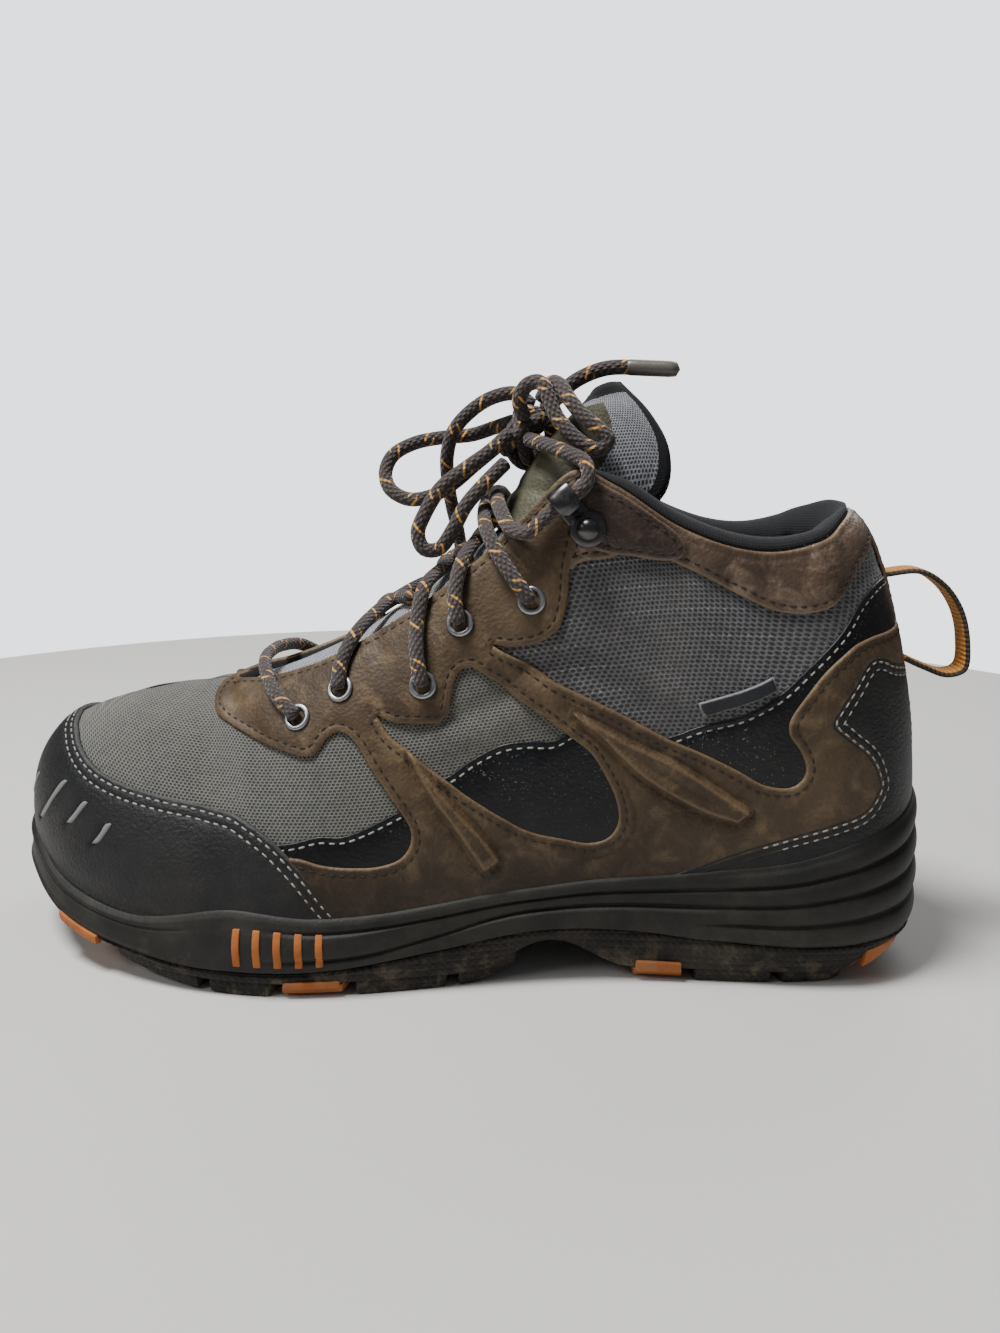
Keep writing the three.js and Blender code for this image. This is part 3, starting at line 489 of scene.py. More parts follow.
def buildGrainGroup():
    takes = {"Vector": "Vector", "Fineness": 900.0}
    tree, given, out = newGroup(
        "leather grain", takes, {"Height": "Float", "Tone": "Float", "Patch": "Float"},
    )
    where = given["Vector"]
    pores = outOf(tree, "ShaderNodeTexVoronoi", "Distance", {"Vector": where, "Scale": given["Fineness"]})
    nap = where.noise(given["Fineness"] * 0.35, 6, 0.7)
    feed(out, {
        "Height": pores * 0.45 + nap * 0.9, "Tone": where.noise(110, 7, 0.66, 0.5),
        "Patch": where.noise(26, 4, 0.55, 0.8),
    })
    return tree


mudGroup = buildMudGroup()
rubAndHighlightGroup = buildRubAndHighlightGroup()
weaveGroup = buildWeaveGroup()
grainGroup = buildGrainGroup()


def useGroup(tree, group, inputs):
    made = tree.nodes.new("ShaderNodeGroup")
    made.node_tree = group
    feed(made, inputs)
    return {socket.name: Wire(socket) for socket in made.outputs}


def muddied(where, colour, look):
    return useGroup(where.tree, mudGroup, {
        "Colour": colour, "Vector": where, "Dust": look["dust"], "Splash": look["splash"],
        "Reach": look["reach"],
    })


def rubbedAndLitEdges(where, colour, pale, look):
    rim = outOf(where.tree, "ShaderNodeAttribute", "Fac", {}, attribute_name="rim")
    return useGroup(where.tree, rubAndHighlightGroup, {
        "Colour": colour, "Rubbed and lit": pale, "Vector": where, "Distance": rim, "Width": look["rubAndHighlightWidth"],
        "Amount": look["rubAndHighlight"],
    })["Colour"]


def newFinish(name):
    material = bpy.data.materials.new(name)
    material.use_nodes = True
    tree = material.node_tree
    tree.nodes.clear()
    surface = tree.nodes.new("ShaderNodeBsdfPrincipled")
    addNode(tree, "ShaderNodeOutputMaterial", {0: surface.outputs[0]})
    where = tree.nodes.new("ShaderNodeTexCoord").outputs
    return material, surface, Wire(where["Object"]), Wire(where["UV"])


def setBump(surface, height, strength, depth):
    takes = {"Height": height, "Strength": strength, "Distance": depth}
    feed(surface, {"Normal": outOf(surface.id_data, "ShaderNodeBump", 0, takes)})


def makeLeather(name, look):
    material, surface, where, _ = newFinish(name)
    grain = useGroup(where.tree, grainGroup, {"Vector": where, "Fineness": look["fineness"]})
    colour = grain["Patch"].step(0.35, 0.68).mix(look["dark"], look["colour"])
    colour = (grain["Tone"].step(0.46, 0.72) * look["rubbed"]).mix(colour, look["light"])
    # darker and redder near the sole: painted shade
    ragged = where.axis("Z") + (grain["Tone"] - 0.5) * 0.03
    soleShade = 1 - ragged.step(look["lowFrom"], look["lowTo"])
    colour = (soleShade * 0.85).mix(colour, look["low"])
    if "specks" in look:  # fine grit
        grit = where.noise(1500, 2, 0.4).step(0.66, 0.72) * where.noise(40, 2).step(0.4, 0.65)
        colour = (grit * look["specks"]).mix(colour, tone(124, 128, 132))
    mud = muddied(where, rubbedAndLitEdges(where, colour, look["edge"], look), look)
    rough = mud["Mask"] * 0.25 + look["rough"] - grain["Tone"] * look["gloss"]
    feed(surface, {"Base Color": mud["Colour"], "Roughness": rough, "Specular IOR Level": look["shine"]})
    setBump(surface, grain["Height"] + mud["Height"], look["bump"], 0.0006)
    return material


def makeKnit(name, look):
    material, surface, where, uv = newFinish(name)
    takes = {"UV": uv, "Pitch": look["pitch"], "Squash": look["squash"], "Hole": look["hole"]}
    weave = useGroup(where.tree, weaveGroup, takes)
    yarn = weave["Yarn"].mix(look["yarn"], look["yarnLight"])
    yarn = (where.noise(30, 5, 0.6).step(0.3, 0.75) * 0.45).mix(yarn, look["soiled"])
    if "dashes" in look:  # pale floats of yarn in every few rows
        across = uv.axis("X")
        row = (uv.axis("Y") / look["dashes"]).calc("PINGPONG", 0.5)
        dash = (across / (look["pitch"] * 1.5)).calc("PINGPONG", 0.5)
        paleYarn = row.calc("LESS_THAN", 0.045) * dash.calc("LESS_THAN", 0.3)
        there = where.noise(24, 2).step(0.42, 0.55) * (1 - across.step(88, 100))
        yarn = (paleYarn * there * 0.5).mix(yarn, tone(160, 160, 162))
    colour = (weave["Hole"] * look["holeDepth"]).mix(yarn, look["under"])
    feed(surface, {
        "Base Color": muddied(where, colour, look)["Colour"], "Roughness": 0.88,
        "Sheen Weight": look["sheen"],
        "Sheen Roughness": 0.5,
    })
    setBump(surface, weave["Height"] + where.noise(2200, 2, 0.6) * 0.35, look["bump"], 0.0007)
    return material


def makeRubber(name, look):
    material, surface, where, _ = newFinish(name)
    colour = where.noise(55, 6, 0.6).step(0.35, 0.7).mix(look["colour"], look["light"])
    scuff = outOf(where.tree, "ShaderNodeMapping", 0, {"Vector": where, "Scale": (70.0, 400.0, 900.0)})
    marks = scuff.noise(1.0, 5, 0.75, 0.3).step(0.62, 0.8)
    colour = (marks * look["scuffs"]).mix(colour, look["scuff"])
    if look["rubAndHighlight"]:
        colour = rubbedAndLitEdges(where, colour, look["scuff"], look)
    mud = muddied(where, colour, look)
    rough = mud["Mask"] * 0.3 + look["rough"]
    feed(surface, {"Base Color": mud["Colour"], "Roughness": rough, "Specular IOR Level": look["shine"]})
    height = where.noise(look["pebble"], 4, 0.6) + mud["Height"] * 1.5
    if "ribs" in look:  # fine upright ribbing moulded in the side of the tread
        rib = (where.axis("X") * (1000 / look["ribs"])).calc("PINGPONG", 1.0)
        bar = (where.axis("Z") * (1000 / look["ribs"])).calc("PINGPONG", 1.0)
        height = height + rib.calc("MINIMUM", bar) * 2.2
    setBump(surface, height, look["bump"], 0.0005)
    return material


def makeMetal(name, look):
    material, surface, where, _ = newFinish(name)
    cloud = where.noise(500, 5, 0.6)
    dirt = cloud.step(0.45, 0.8) * look["dirt"]
    colour = dirt.mix(look["colour"], look["tarnish"])
    feed(surface, {"Base Color": colour, "Metallic": 1 - dirt, "Roughness": cloud * 0.2 + look["rough"]})
    setBump(surface, cloud, 0.15, 0.0003)
    return material


def makeCordFinish(name, look):
    material, surface, where, uv = newFinish(name)
    turn, along = uv.axis("X"), uv.axis("Y")
    left = turn * look["strands"] + along / look["lay"]
    right = turn * look["strands"] - along / look["lay"]
    braid = left.calc("PINGPONG", 0.5) * right.calc("PINGPONG", 0.5)
    # dark lines between the braided strands: painted shade in the crevices
    shade = braid.step(0.02, 0.16).mix(look["dark"], look["colour"])
    shade = (where.noise(300, 3) * 0.5).mix(shade, look["faded"])
    # flecks: one strand that crosses the face once in each repeat
    repeat = (along / look["fleckEvery"]).calc("FRACT")
    near = (repeat - 0.5).calc("ABSOLUTE").calc("LESS_THAN", look["fleckSpan"])
    strand = (turn * 3.0 + along / (look["lay"] * 1.3)).calc("FRACT")
    fleck = near * (1 - (strand - 0.5).calc("ABSOLUTE").step(0.1, 0.15))
    colour = muddied(where, fleck.mix(shade, look["fleck"]), look)["Colour"]
    feed(surface, {"Base Color": colour, "Roughness": 0.82, "Sheen Weight": 0.2})
    setBump(surface, braid * 4.0, 0.9, 0.0006)
    return material


def makePlain(name, colour, rough, bump=0.0, scale=900.0, speckle=0.25):
    material, surface, where, _ = newFinish(name)
    cloud = where.noise(scale, 4, 0.6)
    darker = tuple(c * 0.55 for c in colour[:3]) + (1.0,)
    feed(surface, {"Base Color": (cloud * (speckle * 2)).mix(colour, darker), "Roughness": rough})
    if bump:
        setBump(surface, cloud, bump, 0.0005)
    return material


leatherLook = {
    "colour": tone(82, 66, 47), "dark": tone(60, 46, 32), "light": tone(124, 104, 76),
    "edge": tone(126, 104, 76),
    "low": tone(29, 20, 13), "lowFrom": 0.024, "lowTo": 0.068, "rubbed": 0.5, "rubAndHighlight": 0.6, "rubAndHighlightWidth": 1.0,
    "dust": 0.12, "splash": 0.15, "reach": 0.045, "rough": 0.66, "gloss": 0.25, "bump": 0.55,
    "fineness": 900.0,
    "shine": 0.3,
}
knitLook = {"splash": 0.0, "reach": 0.06, "sheen": 0.25}
rubberLook = {"rubAndHighlight": 0.0, "rubAndHighlightWidth": 0.8, "shine": 0.3}
finishes = {
    "leather": makeLeather("brown leather", leatherLook),
    "collarLeather": makeLeather("collar leather", {
        **leatherLook, "colour": tone(92, 74, 59), "dark": tone(62, 48, 39), "light": tone(146, 126, 106),
        "rough": 0.52, "shine": 0.5,
    }),
    "darkLeather": makeLeather("dark leather", {
        **leatherLook, "colour": tone(66, 51, 45), "dark": tone(44, 33, 30), "light": tone(100, 82, 70),
        "edge": tone(128, 106, 84), "rough": 0.45, "shine": 0.5,
    }),
    "blackLeather": makeLeather("black leather", {
        **leatherLook, "colour": tone(9, 11, 16), "dark": tone(5, 6, 9), "light": tone(24, 28, 34),
        "edge": tone(34, 36, 38), "low": tone(8, 8, 9), "rubbed": 0.3, "rubAndHighlight": 0.4, "rubAndHighlightWidth": 0.8,
        "specks": 0.55, "dust": 0.05, "splash": 0.03, "rough": 0.5, "bump": 0.3,
    }),
    "oliveFlap": makeLeather("olive flap", {
        **leatherLook, "colour": tone(46, 45, 38), "dark": tone(33, 33, 28), "light": tone(70, 68, 56),
        "edge": tone(92, 90, 70), "low": tone(40, 38, 32), "lowTo": 0.03,
    }),
    "tagCloth": makeLeather("tag cloth", {
        **leatherLook, "colour": tone(34, 36, 41), "dark": tone(26, 28, 32), "light": tone(52, 54, 58),
        "edge": tone(132, 134, 136), "low": tone(34, 36, 41), "rubAndHighlight": 0.8, "rubAndHighlightWidth": 0.5, "rubbed": 0.2,
    }),
    "vampKnit": makeKnit("vamp mesh", {
        **knitLook, "pitch": 1.35, "squash": 0.72, "hole": 0.34, "holeDepth": 0.85, "yarn": tone(90, 90, 86),
        "yarnLight": tone(110, 110, 104), "soiled": tone(102, 99, 88), "under": tone(30, 31, 30), "dust": 0.3,
        "splash": 0.1, "bump": 0.7,
    }),
    "ankleKnit": makeKnit("ankle mesh", {
        **knitLook, "pitch": 2.1, "squash": 0.66, "hole": 0.33, "holeDepth": 0.9, "yarn": tone(80, 80, 84),
        "yarnLight": tone(104, 104, 108), "soiled": tone(78, 76, 72), "under": tone(24, 25, 28), "dust": 0.2,
        "splash": 0.05, "bump": 0.9, "dashes": 7.6,
    }),
    "lining": makeKnit("black lining", {
        **knitLook, "pitch": 1.0, "squash": 0.9, "hole": 0.25, "holeDepth": 0.6, "yarn": tone(13, 14, 18),
        "yarnLight": tone(22, 23, 28), "soiled": tone(24, 24, 26), "under": tone(8, 9, 11), "dust": 0.03,
        "sheen": 0.04, "bump": 0.5,
    }),
    "footbed": makeKnit("insole cloth", {
        **knitLook, "pitch": 1.6, "squash": 1.0, "hole": 0.22, "holeDepth": 0.5, "yarn": tone(44, 45, 47),
        "yarnLight": tone(60, 61, 62), "soiled": tone(74, 70, 62), "under": tone(22, 22, 24), "dust": 0.4,
        "bump": 0.4,
    }),
    "tongueMesh": makeKnit("tongue mesh", {
        **knitLook, "pitch": 1.9, "squash": 0.8, "hole": 0.31, "holeDepth": 0.85, "yarn": tone(152, 155, 162),
        "yarnLight": tone(176, 179, 186), "soiled": tone(132, 132, 134), "under": tone(36, 37, 41),
        "dust": 0.15,
        "bump": 0.8,
    }),
    "capRubber": makeRubber("toe cap leather", {
        **rubberLook, "colour": tone(11, 12, 14), "light": tone(22, 23, 25), "scuff": tone(104, 106, 104),
        "scuffs": 0.08, "rubAndHighlight": 0.45, "dust": 0.1, "splash": 0.06, "reach": 0.06, "rough": 0.5,
        "pebble": 850.0,
        "bump": 1.0, "shine": 0.35,
    }),
    "soleRubber": makeRubber("midsole rubber", {
        **rubberLook, "colour": tone(20, 20, 18), "light": tone(31, 31, 28), "scuff": tone(80, 80, 74),
        "scuffs": 0.13, "dust": 0.15, "splash": 0.12, "reach": 0.04, "rough": 0.58, "pebble": 1100.0,
        "bump": 0.35,
    }),
    "treadRubber": makeRubber("tread rubber", {
        **rubberLook, "colour": tone(21, 19, 17), "light": tone(34, 31, 27), "scuff": tone(78, 72, 62),
        "scuffs": 0.2, "dust": 0.28, "splash": 0.4, "reach": 0.022, "rough": 0.74, "pebble": 700.0,
        "bump": 0.6,
        "ribs": 1.2,
    }),
    "orange": makeRubber("orange rubber", {
        **rubberLook, "colour": tone(148, 80, 30), "light": tone(172, 100, 44), "scuff": tone(96, 66, 40),
        "scuffs": 0.4, "dust": 0.5, "splash": 0.4, "reach": 0.03, "rough": 0.7, "pebble": 800.0, "bump": 0.3,
    }),
    "steel": makeMetal("eyelet metal", {
        "colour": tone(158, 158, 160), "tarnish": tone(70, 67, 62), "dirt": 0.6, "rough": 0.26,
    }),
    "darkMetal": makeMetal("hook metal", {
        "colour": tone(86, 84, 84), "tarnish": tone(34, 31, 29), "dirt": 0.6, "rough": 0.2,
    }),
    "lace": makeCordFinish("lace", {
        "colour": tone(64, 52, 50), "dark": tone(26, 20, 20), "faded": tone(80, 67, 64),
        "fleck": tone(208, 152, 66),
        "strands": 8.0, "lay": 2.6, "fleckEvery": 12.0, "fleckSpan": 0.14, "dust": 0.16, "splash": 0.0,
        "reach": 0.05,
    }),
    "cutMark": makePlain("cut mark", tone(120, 122, 120), 0.6, 0.2, 1600.0),
    "greyThread": makePlain("grey thread", tone(150, 150, 144), 0.8, 0.3, 1800.0),
    "brownThread": makePlain("brown thread", tone(44, 33, 25), 0.85, 0.3, 1800.0),
    "hole": makePlain("eyelet hole shade", tone(12, 11, 11), 0.95),
    "aglet": makePlain("lace tip", tone(98, 93, 88), 0.35, 0.1, 700.0),
}
print("finishes made")


# Meshes

def newObject(name, mesh, *materials):
    made = bpy.data.objects.new(name, mesh)
    bpy.context.scene.collection.objects.link(made)
    for material in materials:
        mesh.materials.append(material)
    return made


def buildMesh(name, points, faces, materials, uv=None, rim=None, faceMaterial=None, weld=True):
    mesh = bpy.data.meshes.new(name)
    mesh.from_pydata(place(points).tolist(), [], faces)
    if uv is not None:
        layer = mesh.uv_layers.new(name="cloth")
        corner = np.zeros(len(mesh.loops), int)
        mesh.loops.foreach_get("vertex_index", corner)
        layer.data.foreach_set("uv", np.asarray(uv, np.float32)[corner].ravel())
    if rim is not None:
        values = np.asarray(rim, np.float32)
        mesh.attributes.new("rim", "FLOAT", "POINT").data.foreach_set("value", values)
    if faceMaterial is not None:
        mesh.polygons.foreach_set("material_index", np.asarray(faceMaterial, np.int32))
    shape = bmesh.new()
    shape.from_mesh(mesh)
    if weld:
        bmesh.ops.remove_doubles(shape, verts=shape.verts, dist=2e-6)
        bmesh.ops.dissolve_degenerate(shape, edges=shape.edges, dist=1e-7)
    bmesh.ops.recalc_face_normals(shape, faces=shape.faces)
    shape.to_mesh(mesh)
    shape.free()
    mesh.polygons.foreach_set("use_smooth", [True] * len(mesh.polygons))
    return newObject(name, mesh, *materials)


def give(piece, slot, *nodes):
    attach(piece, "root")
    if nodes:
        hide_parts(*nodes)
    return piece


def ringWalls(count, around):  # quads between rings of points that follow each other
    faces = []
    for i in range(count - 1):
        for k in range(around):
            a, b = i * around + k, i * around + (k + 1) % around
            faces.append((a, b, b + around, a + around))
    return faces


def sheetFaces(n, m, first=0, closed=True):
    # a front grid of n rows of m points, the back grid after it, and walls round the edge
    faces = []
    for i in range(n - 1):
        for j in range(m - 1):
            a = first + i * m + j
            b = a + n * m
            faces += [(a, a + 1, a + m + 1, a + m), (b, b + m, b + m + 1, b + 1)]
    start, end = list(range(m)), [(n - 1) * m + j for j in range(m)]
    left, right = [i * m for i in range(n)], [i * m + m - 1 for i in range(n)]
    for line in [left, right, start, end] if closed else [left, right, end]:
        for a, b in zip(line, line[1:]):
            faces.append((first + a, first + b, first + b + n * m, first + a + n * m))
    return faces


def resampled(line, count):
    gone = runAlong(line)
    even = np.linspace(0, gone[-1], count)
    return np.stack([np.interp(even, gone, line[:, k]) for k in range(line.shape[1])], 1)


def between(t, low, high, a, b):
    return (high - t) / (high - low) * a + (t - low) / (high - low) * b


def curvePoints(points, step):
    # a centripetal curve through the points, sampled evenly
    p = np.asarray(points, float)
    p = np.vstack([2 * p[0] - p[1], p, 2 * p[-1] - p[-2]])
    out = []
    for i in range(1, len(p) - 2):
        a, b, c, d = p[i - 1 : i + 3]
        ta = 0.0
        tb = ta + max(norm(b - a), 1e-6) ** 0.5
        tc = tb + max(norm(c - b), 1e-6) ** 0.5
        td = tc + max(norm(d - c), 1e-6) ** 0.5
        for t in np.linspace(tb, tc, 25)[:-1]:
            bc = between(t, tb, tc, b, c)
            abc = between(t, ta, tc, between(t, ta, tb, a, b), bc)
            bcd = between(t, tb, td, bc, between(t, tc, td, c, d))
            out.append(between(t, tb, tc, abc, bcd))
    out = np.array(out + [p[-2]])
    return resampled(out, max(2, int(round(runAlong(out)[-1] / step)) + 1))


def tube(name, route, width, material, step=1.1, around=14, flat=1.0, taper=0.0):
    # a closed tube along a route in mm, with the turn and the length in mm as its UV map
    line = curvePoints(route, step)
    gone = runAlong(line)
    count, ring = len(line), around + 1
    tangent = unit(np.gradient(line, axis=0))
    up = unit(np.cross(tangent[0], [0.3, 0.9, 0.2]))
    points, uv, faces = [], [], []
    for i in range(count):
        up = unit(up - tangent[i] * (up @ tangent[i]))
        across = np.cross(tangent[i], up)
        size = width / 2 * (1 - taper * (i in (0, count - 1)))
        for k in range(ring):
            angle = 2 * math.pi * k / around
            points.append(line[i] + size * (math.cos(angle) * up + flat * math.sin(angle) * across))
            uv.append((k / around, gone[i]))
    for i in range(count - 1):
        for k in range(around):
            a = i * ring + k
            faces.append((a, a + 1, a + ring + 1, a + ring))
    for i, sign in ((0, -1), (count - 1, 1)):
        tip = len(points)
        points.append(line[i] + sign * tangent[i] * width * 0.22)
        uv.append((0.5, gone[i]))
        faces += [(i * ring + k, i * ring + k + 1, tip) for k in range(around)]
    return buildMesh(name, np.array(points), faces, [material], uv), line


def joinPieces(name, pieces):
    with bpy.context.temp_override(
        active_object=pieces[0], selected_editable_objects=pieces, selected_objects=pieces,
    ):
        bpy.ops.object.join()
    pieces[0].name = name
    pieces[0].data.name = name
    return pieces[0]


# Laces: the routes are the part's own, in its last coordinates.

laceSize = {"width": 4.6, "flat": 0.86, "tip": 4.9}
laceBar = [
    [204.7, 36.8, 84.3], [211.5, 31.5, 89], [217, 22, 94], [220.5, 10, 95.8], [221, 0, 96.2],
    [220.5, -10, 95.8], [217, -22, 94], [211.5, -31.3, 88.8], [204.7, -36.4, 84.2],
]
laceCrossings = [
    [
        [191.6, 35.7, 93.1], [191, 31, 100], [188, 25, 107], [183, 11, 112.5], [179, 0, 114.8],
        [174.5, -10, 117], [171.5, -17, 118],
    ],
    [
        [165.4, 40.1, 95.6], [167, 38, 104], [167.5, 33, 112.5], [166, 26.8, 122.6], [161.8, 12, 127],
        [159, 0, 129.6], [156.3, -10, 131], [153.8, -17, 131],
    ],
    [
        [154.9, 36.1, 114.1], [156, 34.2, 121.5], [154.5, 29, 130.5], [150.3, 14, 137], [147.5, 0, 140],
        [146, -10, 141.8], [144.5, -17, 142.3],
    ],
    [
        [133.5, 38.4, 121.2], [138, 38, 127], [142.6, 34.6, 133], [146, 30, 138.4], [148, 23, 142.4],
        [148.6, 12, 146.6], [147, 0, 149.8], [145, -14, 149.6], [143.2, -25, 146.4], [139.6, -33.4, 141.6],
        [134.7, -37.3, 140.8], [130.2, -37.3, 144.7], [124.1, -37.1, 149.9], [118.2, -37, 155],
        [118.4, -34.6, 160.2], [124, -28, 163.4], [130.5, -19, 165.6], [135.5, -11, 167],
    ],
]
laceLoops = [
    [
        [141, -6, 172.5], [147, -9, 170.5], [155, -12, 168], [165, -12.5, 167], [174, -11, 165],
        [180.5, -8, 161], [182.5, -5, 155.5], [180.5, -2, 150.5], [174.5, 0, 147.5], [167, 1, 148.5],
        [160, 1, 152.5], [153, 0, 158.5], [147, -1, 163.5], [144, -2, 166],
    ],
    [
        [141.4, 9, 168.5], [147.5, 11, 163], [154.5, 13, 158], [162, 15.5, 152], [167, 17, 144],
        [169, 18, 138], [167, 18.5, 133.5], [162.5, 18.5, 133.5], [158, 19.5, 139.5], [154, 20, 147],
        [149, 18, 153], [142.6, 12.5, 159.6],
    ],
    [
        [137, 10, 173.5], [138.5, 12.5, 178.5], [136, 14.5, 183], [132, 16.5, 183.5], [129.5, 18.5, 179],
        [127, 20.5, 173.5], [122.5, 22.8, 168.5], [118, 24.5, 165.2], [114, 25, 164.4], [111.8, 25, 167],
        [114.8, 24.2, 170.4], [119.4, 22.5, 174], [123.6, 19.5, 179], [126.4, 15.5, 183], [129, 11, 183.6],
        [131.8, 7.5, 179],
    ],
]
laceEnds = [
    [
        [131, 2, 176], [127, 3, 179.5], [122.5, 4, 184], [117, 5, 187], [112, 6, 188.5], [107.6, 7, 188.8],
        [104, 7.4, 188.7], [98, 8.1, 188.5], [93, 8.7, 188.3],
    ],
    [
        [135, -1.5, 177.5], [140, -3, 181], [147, -4, 180], [154, -5.5, 176], [160, -6, 169.5],
        [162.5, -8, 161.5], [162.5, -12, 152], [161.5, -18, 143], [160.5, -28, 134.5], [160, -37, 125],
        [159.5, -42.4, 114],
    ],
]
aglets = [[[106.7, 7.1, 188.8], [91, 9, 188.2]], [[159.4, -42.7, 112.8], [158.6, -43.4, 96.5]]]
knotAt = np.array([136, 1, 168.0])


def mirrored(points):
    return [[x, -y, z] for x, y, z in points]


def declareCord(line):
    path = place(line)
    length = float(runAlong(path)[-1])


def buildLaces():
    width, flat = laceSize["width"], laceSize["flat"]
    cord = finishes["lace"]
    bar, _ = tube("lace_bar_cord", laceBar, width, cord, flat=flat)
    give(bar, "lace_cord", "lace_bar")
    for i, route in enumerate(laceCrossings):
        pair = enumerate((route, mirrored(route)))
        strands = [tube(f"strand_{i}_{k}", line, width, cord, flat=flat)[0] for k, line in pair]
        give(joinPieces(f"lace_crossing_{i + 1}_cords", strands), "lace_cord", f"lace_crossing_{i + 1}")
    for i, route in enumerate(laceLoops):
        loop, line = tube(f"lace_loop_{i + 1}_cord", route, width, cord)
        give(loop, "lace_cord", f"lace_loop_{i + 1}")
        declareCord(line)
    for i, route in enumerate(laceEnds):
        end, line = tube(f"lace_end_{i + 1}_cord", route, width, cord)
        tip, _ = tube(
            f"lace_tip_{i + 1}", aglets[i], laceSize["tip"], finishes["aglet"], step=2.0, taper=0.12,
        )
        give(end, "lace_cord", f"lace_end_{i + 1}")
        give(tip, "clear_plastic", f"aglet_{i + 1}")
        declareCord(line)


def buildKnot():
    # three lace wraps round the middle of the bow, over the crossing of its loops: two ways, two radii
    wraps = []
    turns = [
        ((1, 0.15, 0.2), (0.1, 0.2, 1), 6.3, 8.2), ((0.15, 0.35, 1), (0.1, 1, -0.2), 7.4, 5.6),
        ((0.8, 0.1, -0.55), (0.3, 1, 0.1), 7.6, 6.2),
    ]
    for i, (a, b, ra, rb) in enumerate(turns):
        a = unit(np.array(a, float))
        b = unit(b - a * (a @ b))
        c = np.cross(a, b)
        centre = knotAt + np.array([0.4, 0.2, 0.3]) * (i - 1) * 3
        route = []
        for k in range(15):
            angle = 2 * math.pi * k / 14 * 1.05
            around = a * ra * math.cos(angle) + b * rb * math.sin(angle)
            route.append(centre + around + c * (k - 7) * 0.22)
        wraps.append(tube(f"wrap_{i}", route, laceSize["width"] * 1.02, finishes["lace"])[0])
    give(joinPieces("lace_knot_wraps", wraps), "lace_cord", "lace_knot")


buildLaces()
buildKnot()
print("laces made")


# The upper: a fine closed shell with a rolled rim and a lining.

def padShare(s, t):
    return (1 - smooth(98, 122, s)) * smooth(0.66, 0.86, t)


def roundStations(step):
    extra = {0, 1, 3, 348, 349.2, 350, throatBase}
    return np.array(sorted(set(np.arange(0, toeTip + 0.1, step)) | extra))


def loftSheet(section, stationsUsed):
    # section(s array, side) gives rows of points for every station; halves meet on the middle line
    points, uv, faces, kinds = [], [], [], []
    for side in sides:
        rows, rowUv, rowKinds = section(stationsUsed, side)
        first = sum(len(p) for p in points)
        grid = np.stack(rows, 1)
        n, m = grid.shape[:2]
        points.append(grid.reshape(-1, 3))
        uv.append(np.stack(rowUv, 1).reshape(-1, 2))
        for i in range(n - 1):
            for j, kind in enumerate(rowKinds):
                if kind == "rim" and stationsUsed[i] >= throatBase:
                    continue
                a, b = first + i * m + j, first + i * m + (j + 1) % m
                faces.append((a, b, b + m, a + m) if side == outer else (a, a + m, b + m, b))
                kinds.append((kind, stationsUsed[i], j))
    return np.vstack(points), np.vstack(uv), faces, kinds


upperShape = {"step": 2.5, "levels": 46, "rimRows": 8, "innerLevels": 22}


def upperSection(s, side):
    levels = np.linspace(0, 1, upperShape["levels"])
    rows, uv = [], []
    run = np.zeros(len(s))
    before = None
    for t in levels:
        here = surfaceAt(s, t, side)
        if before is not None:
            run = run + norm(here - before, axis=1)
        before = here
        width = runAlong(here)
        anchor = np.interp(240, s, width)
        rows.append(here)
        uv.append(np.stack([width - anchor, run], 1))
    share = padShare(s, 1.0)[:, None]
    n = normalAt(s, 1.0, side)
    top = rows[-1]
    under = skinAt(s, 1.0, side) - n * (wall + (collarPad - 1) * share)
    rise = np.array([[0, 0, 1.0]]) * lerp(0.8, 6.0, share)
    for k in np.linspace(0, 1, upperShape["rimRows"] + 2)[1:-1]:
        rows.append(bezier(top, top + rise, under + rise, under, k))
        uv.append(uv[-1] + [[0, 1.0]])
    for t in np.linspace(1, 0, upperShape["innerLevels"]):
        depth = wall + (collarPad - 1) * padShare(s, t)
        rows.append(skinAt(s, t, side) - normalAt(s, t, side) * depth[:, None])
        uv.append(uv[-1] + [[0, 4.0]])
    outerRows = upperShape["levels"] - 1
    rimRows = upperShape["rimRows"] + 1
    kinds = ["outer"] * outerRows + ["rim"] * rimRows + ["inner"] * upperShape["innerLevels"]
    return rows, uv, kinds


def buildUpper():
    points, uv, faces, kinds = loftSheet(upperSection, roundStations(upperShape["step"]))
    slots = []
    for kind, s, j in kinds:
        t = j / (upperShape["levels"] - 1)
        ankle = s < 154 and t > max(0.3, 0.40 + (s - 116) * 0.32 / 38)
        slots.append(2 if kind != "outer" else (1 if ankle else 0))
    cloths = [finishes["vampKnit"], finishes["ankleKnit"], finishes["lining"]]
    made = buildMesh("upper_shell", points, faces, cloths, uv, faceMaterial=slots)
    return give(made, "upper_fabric", "upper")


buildUpper()
print("upper shell made")


# Panels sewn on the upper, cut as flat patterns in s and t.

def insidePattern(points, outline):
    x, y = points[:, 0][:, None], points[:, 1][:, None]
    ax, ay = outline[:, 0], outline[:, 1]
    bx, by = np.roll(ax, -1), np.roll(ay, -1)
    crossing = ((ay > y) != (by > y)) & (x < (bx - ax) * (y - ay) / np.where(by == ay, 1e-12, by - ay) + ax)
    return crossing.sum(1) % 2 == 1


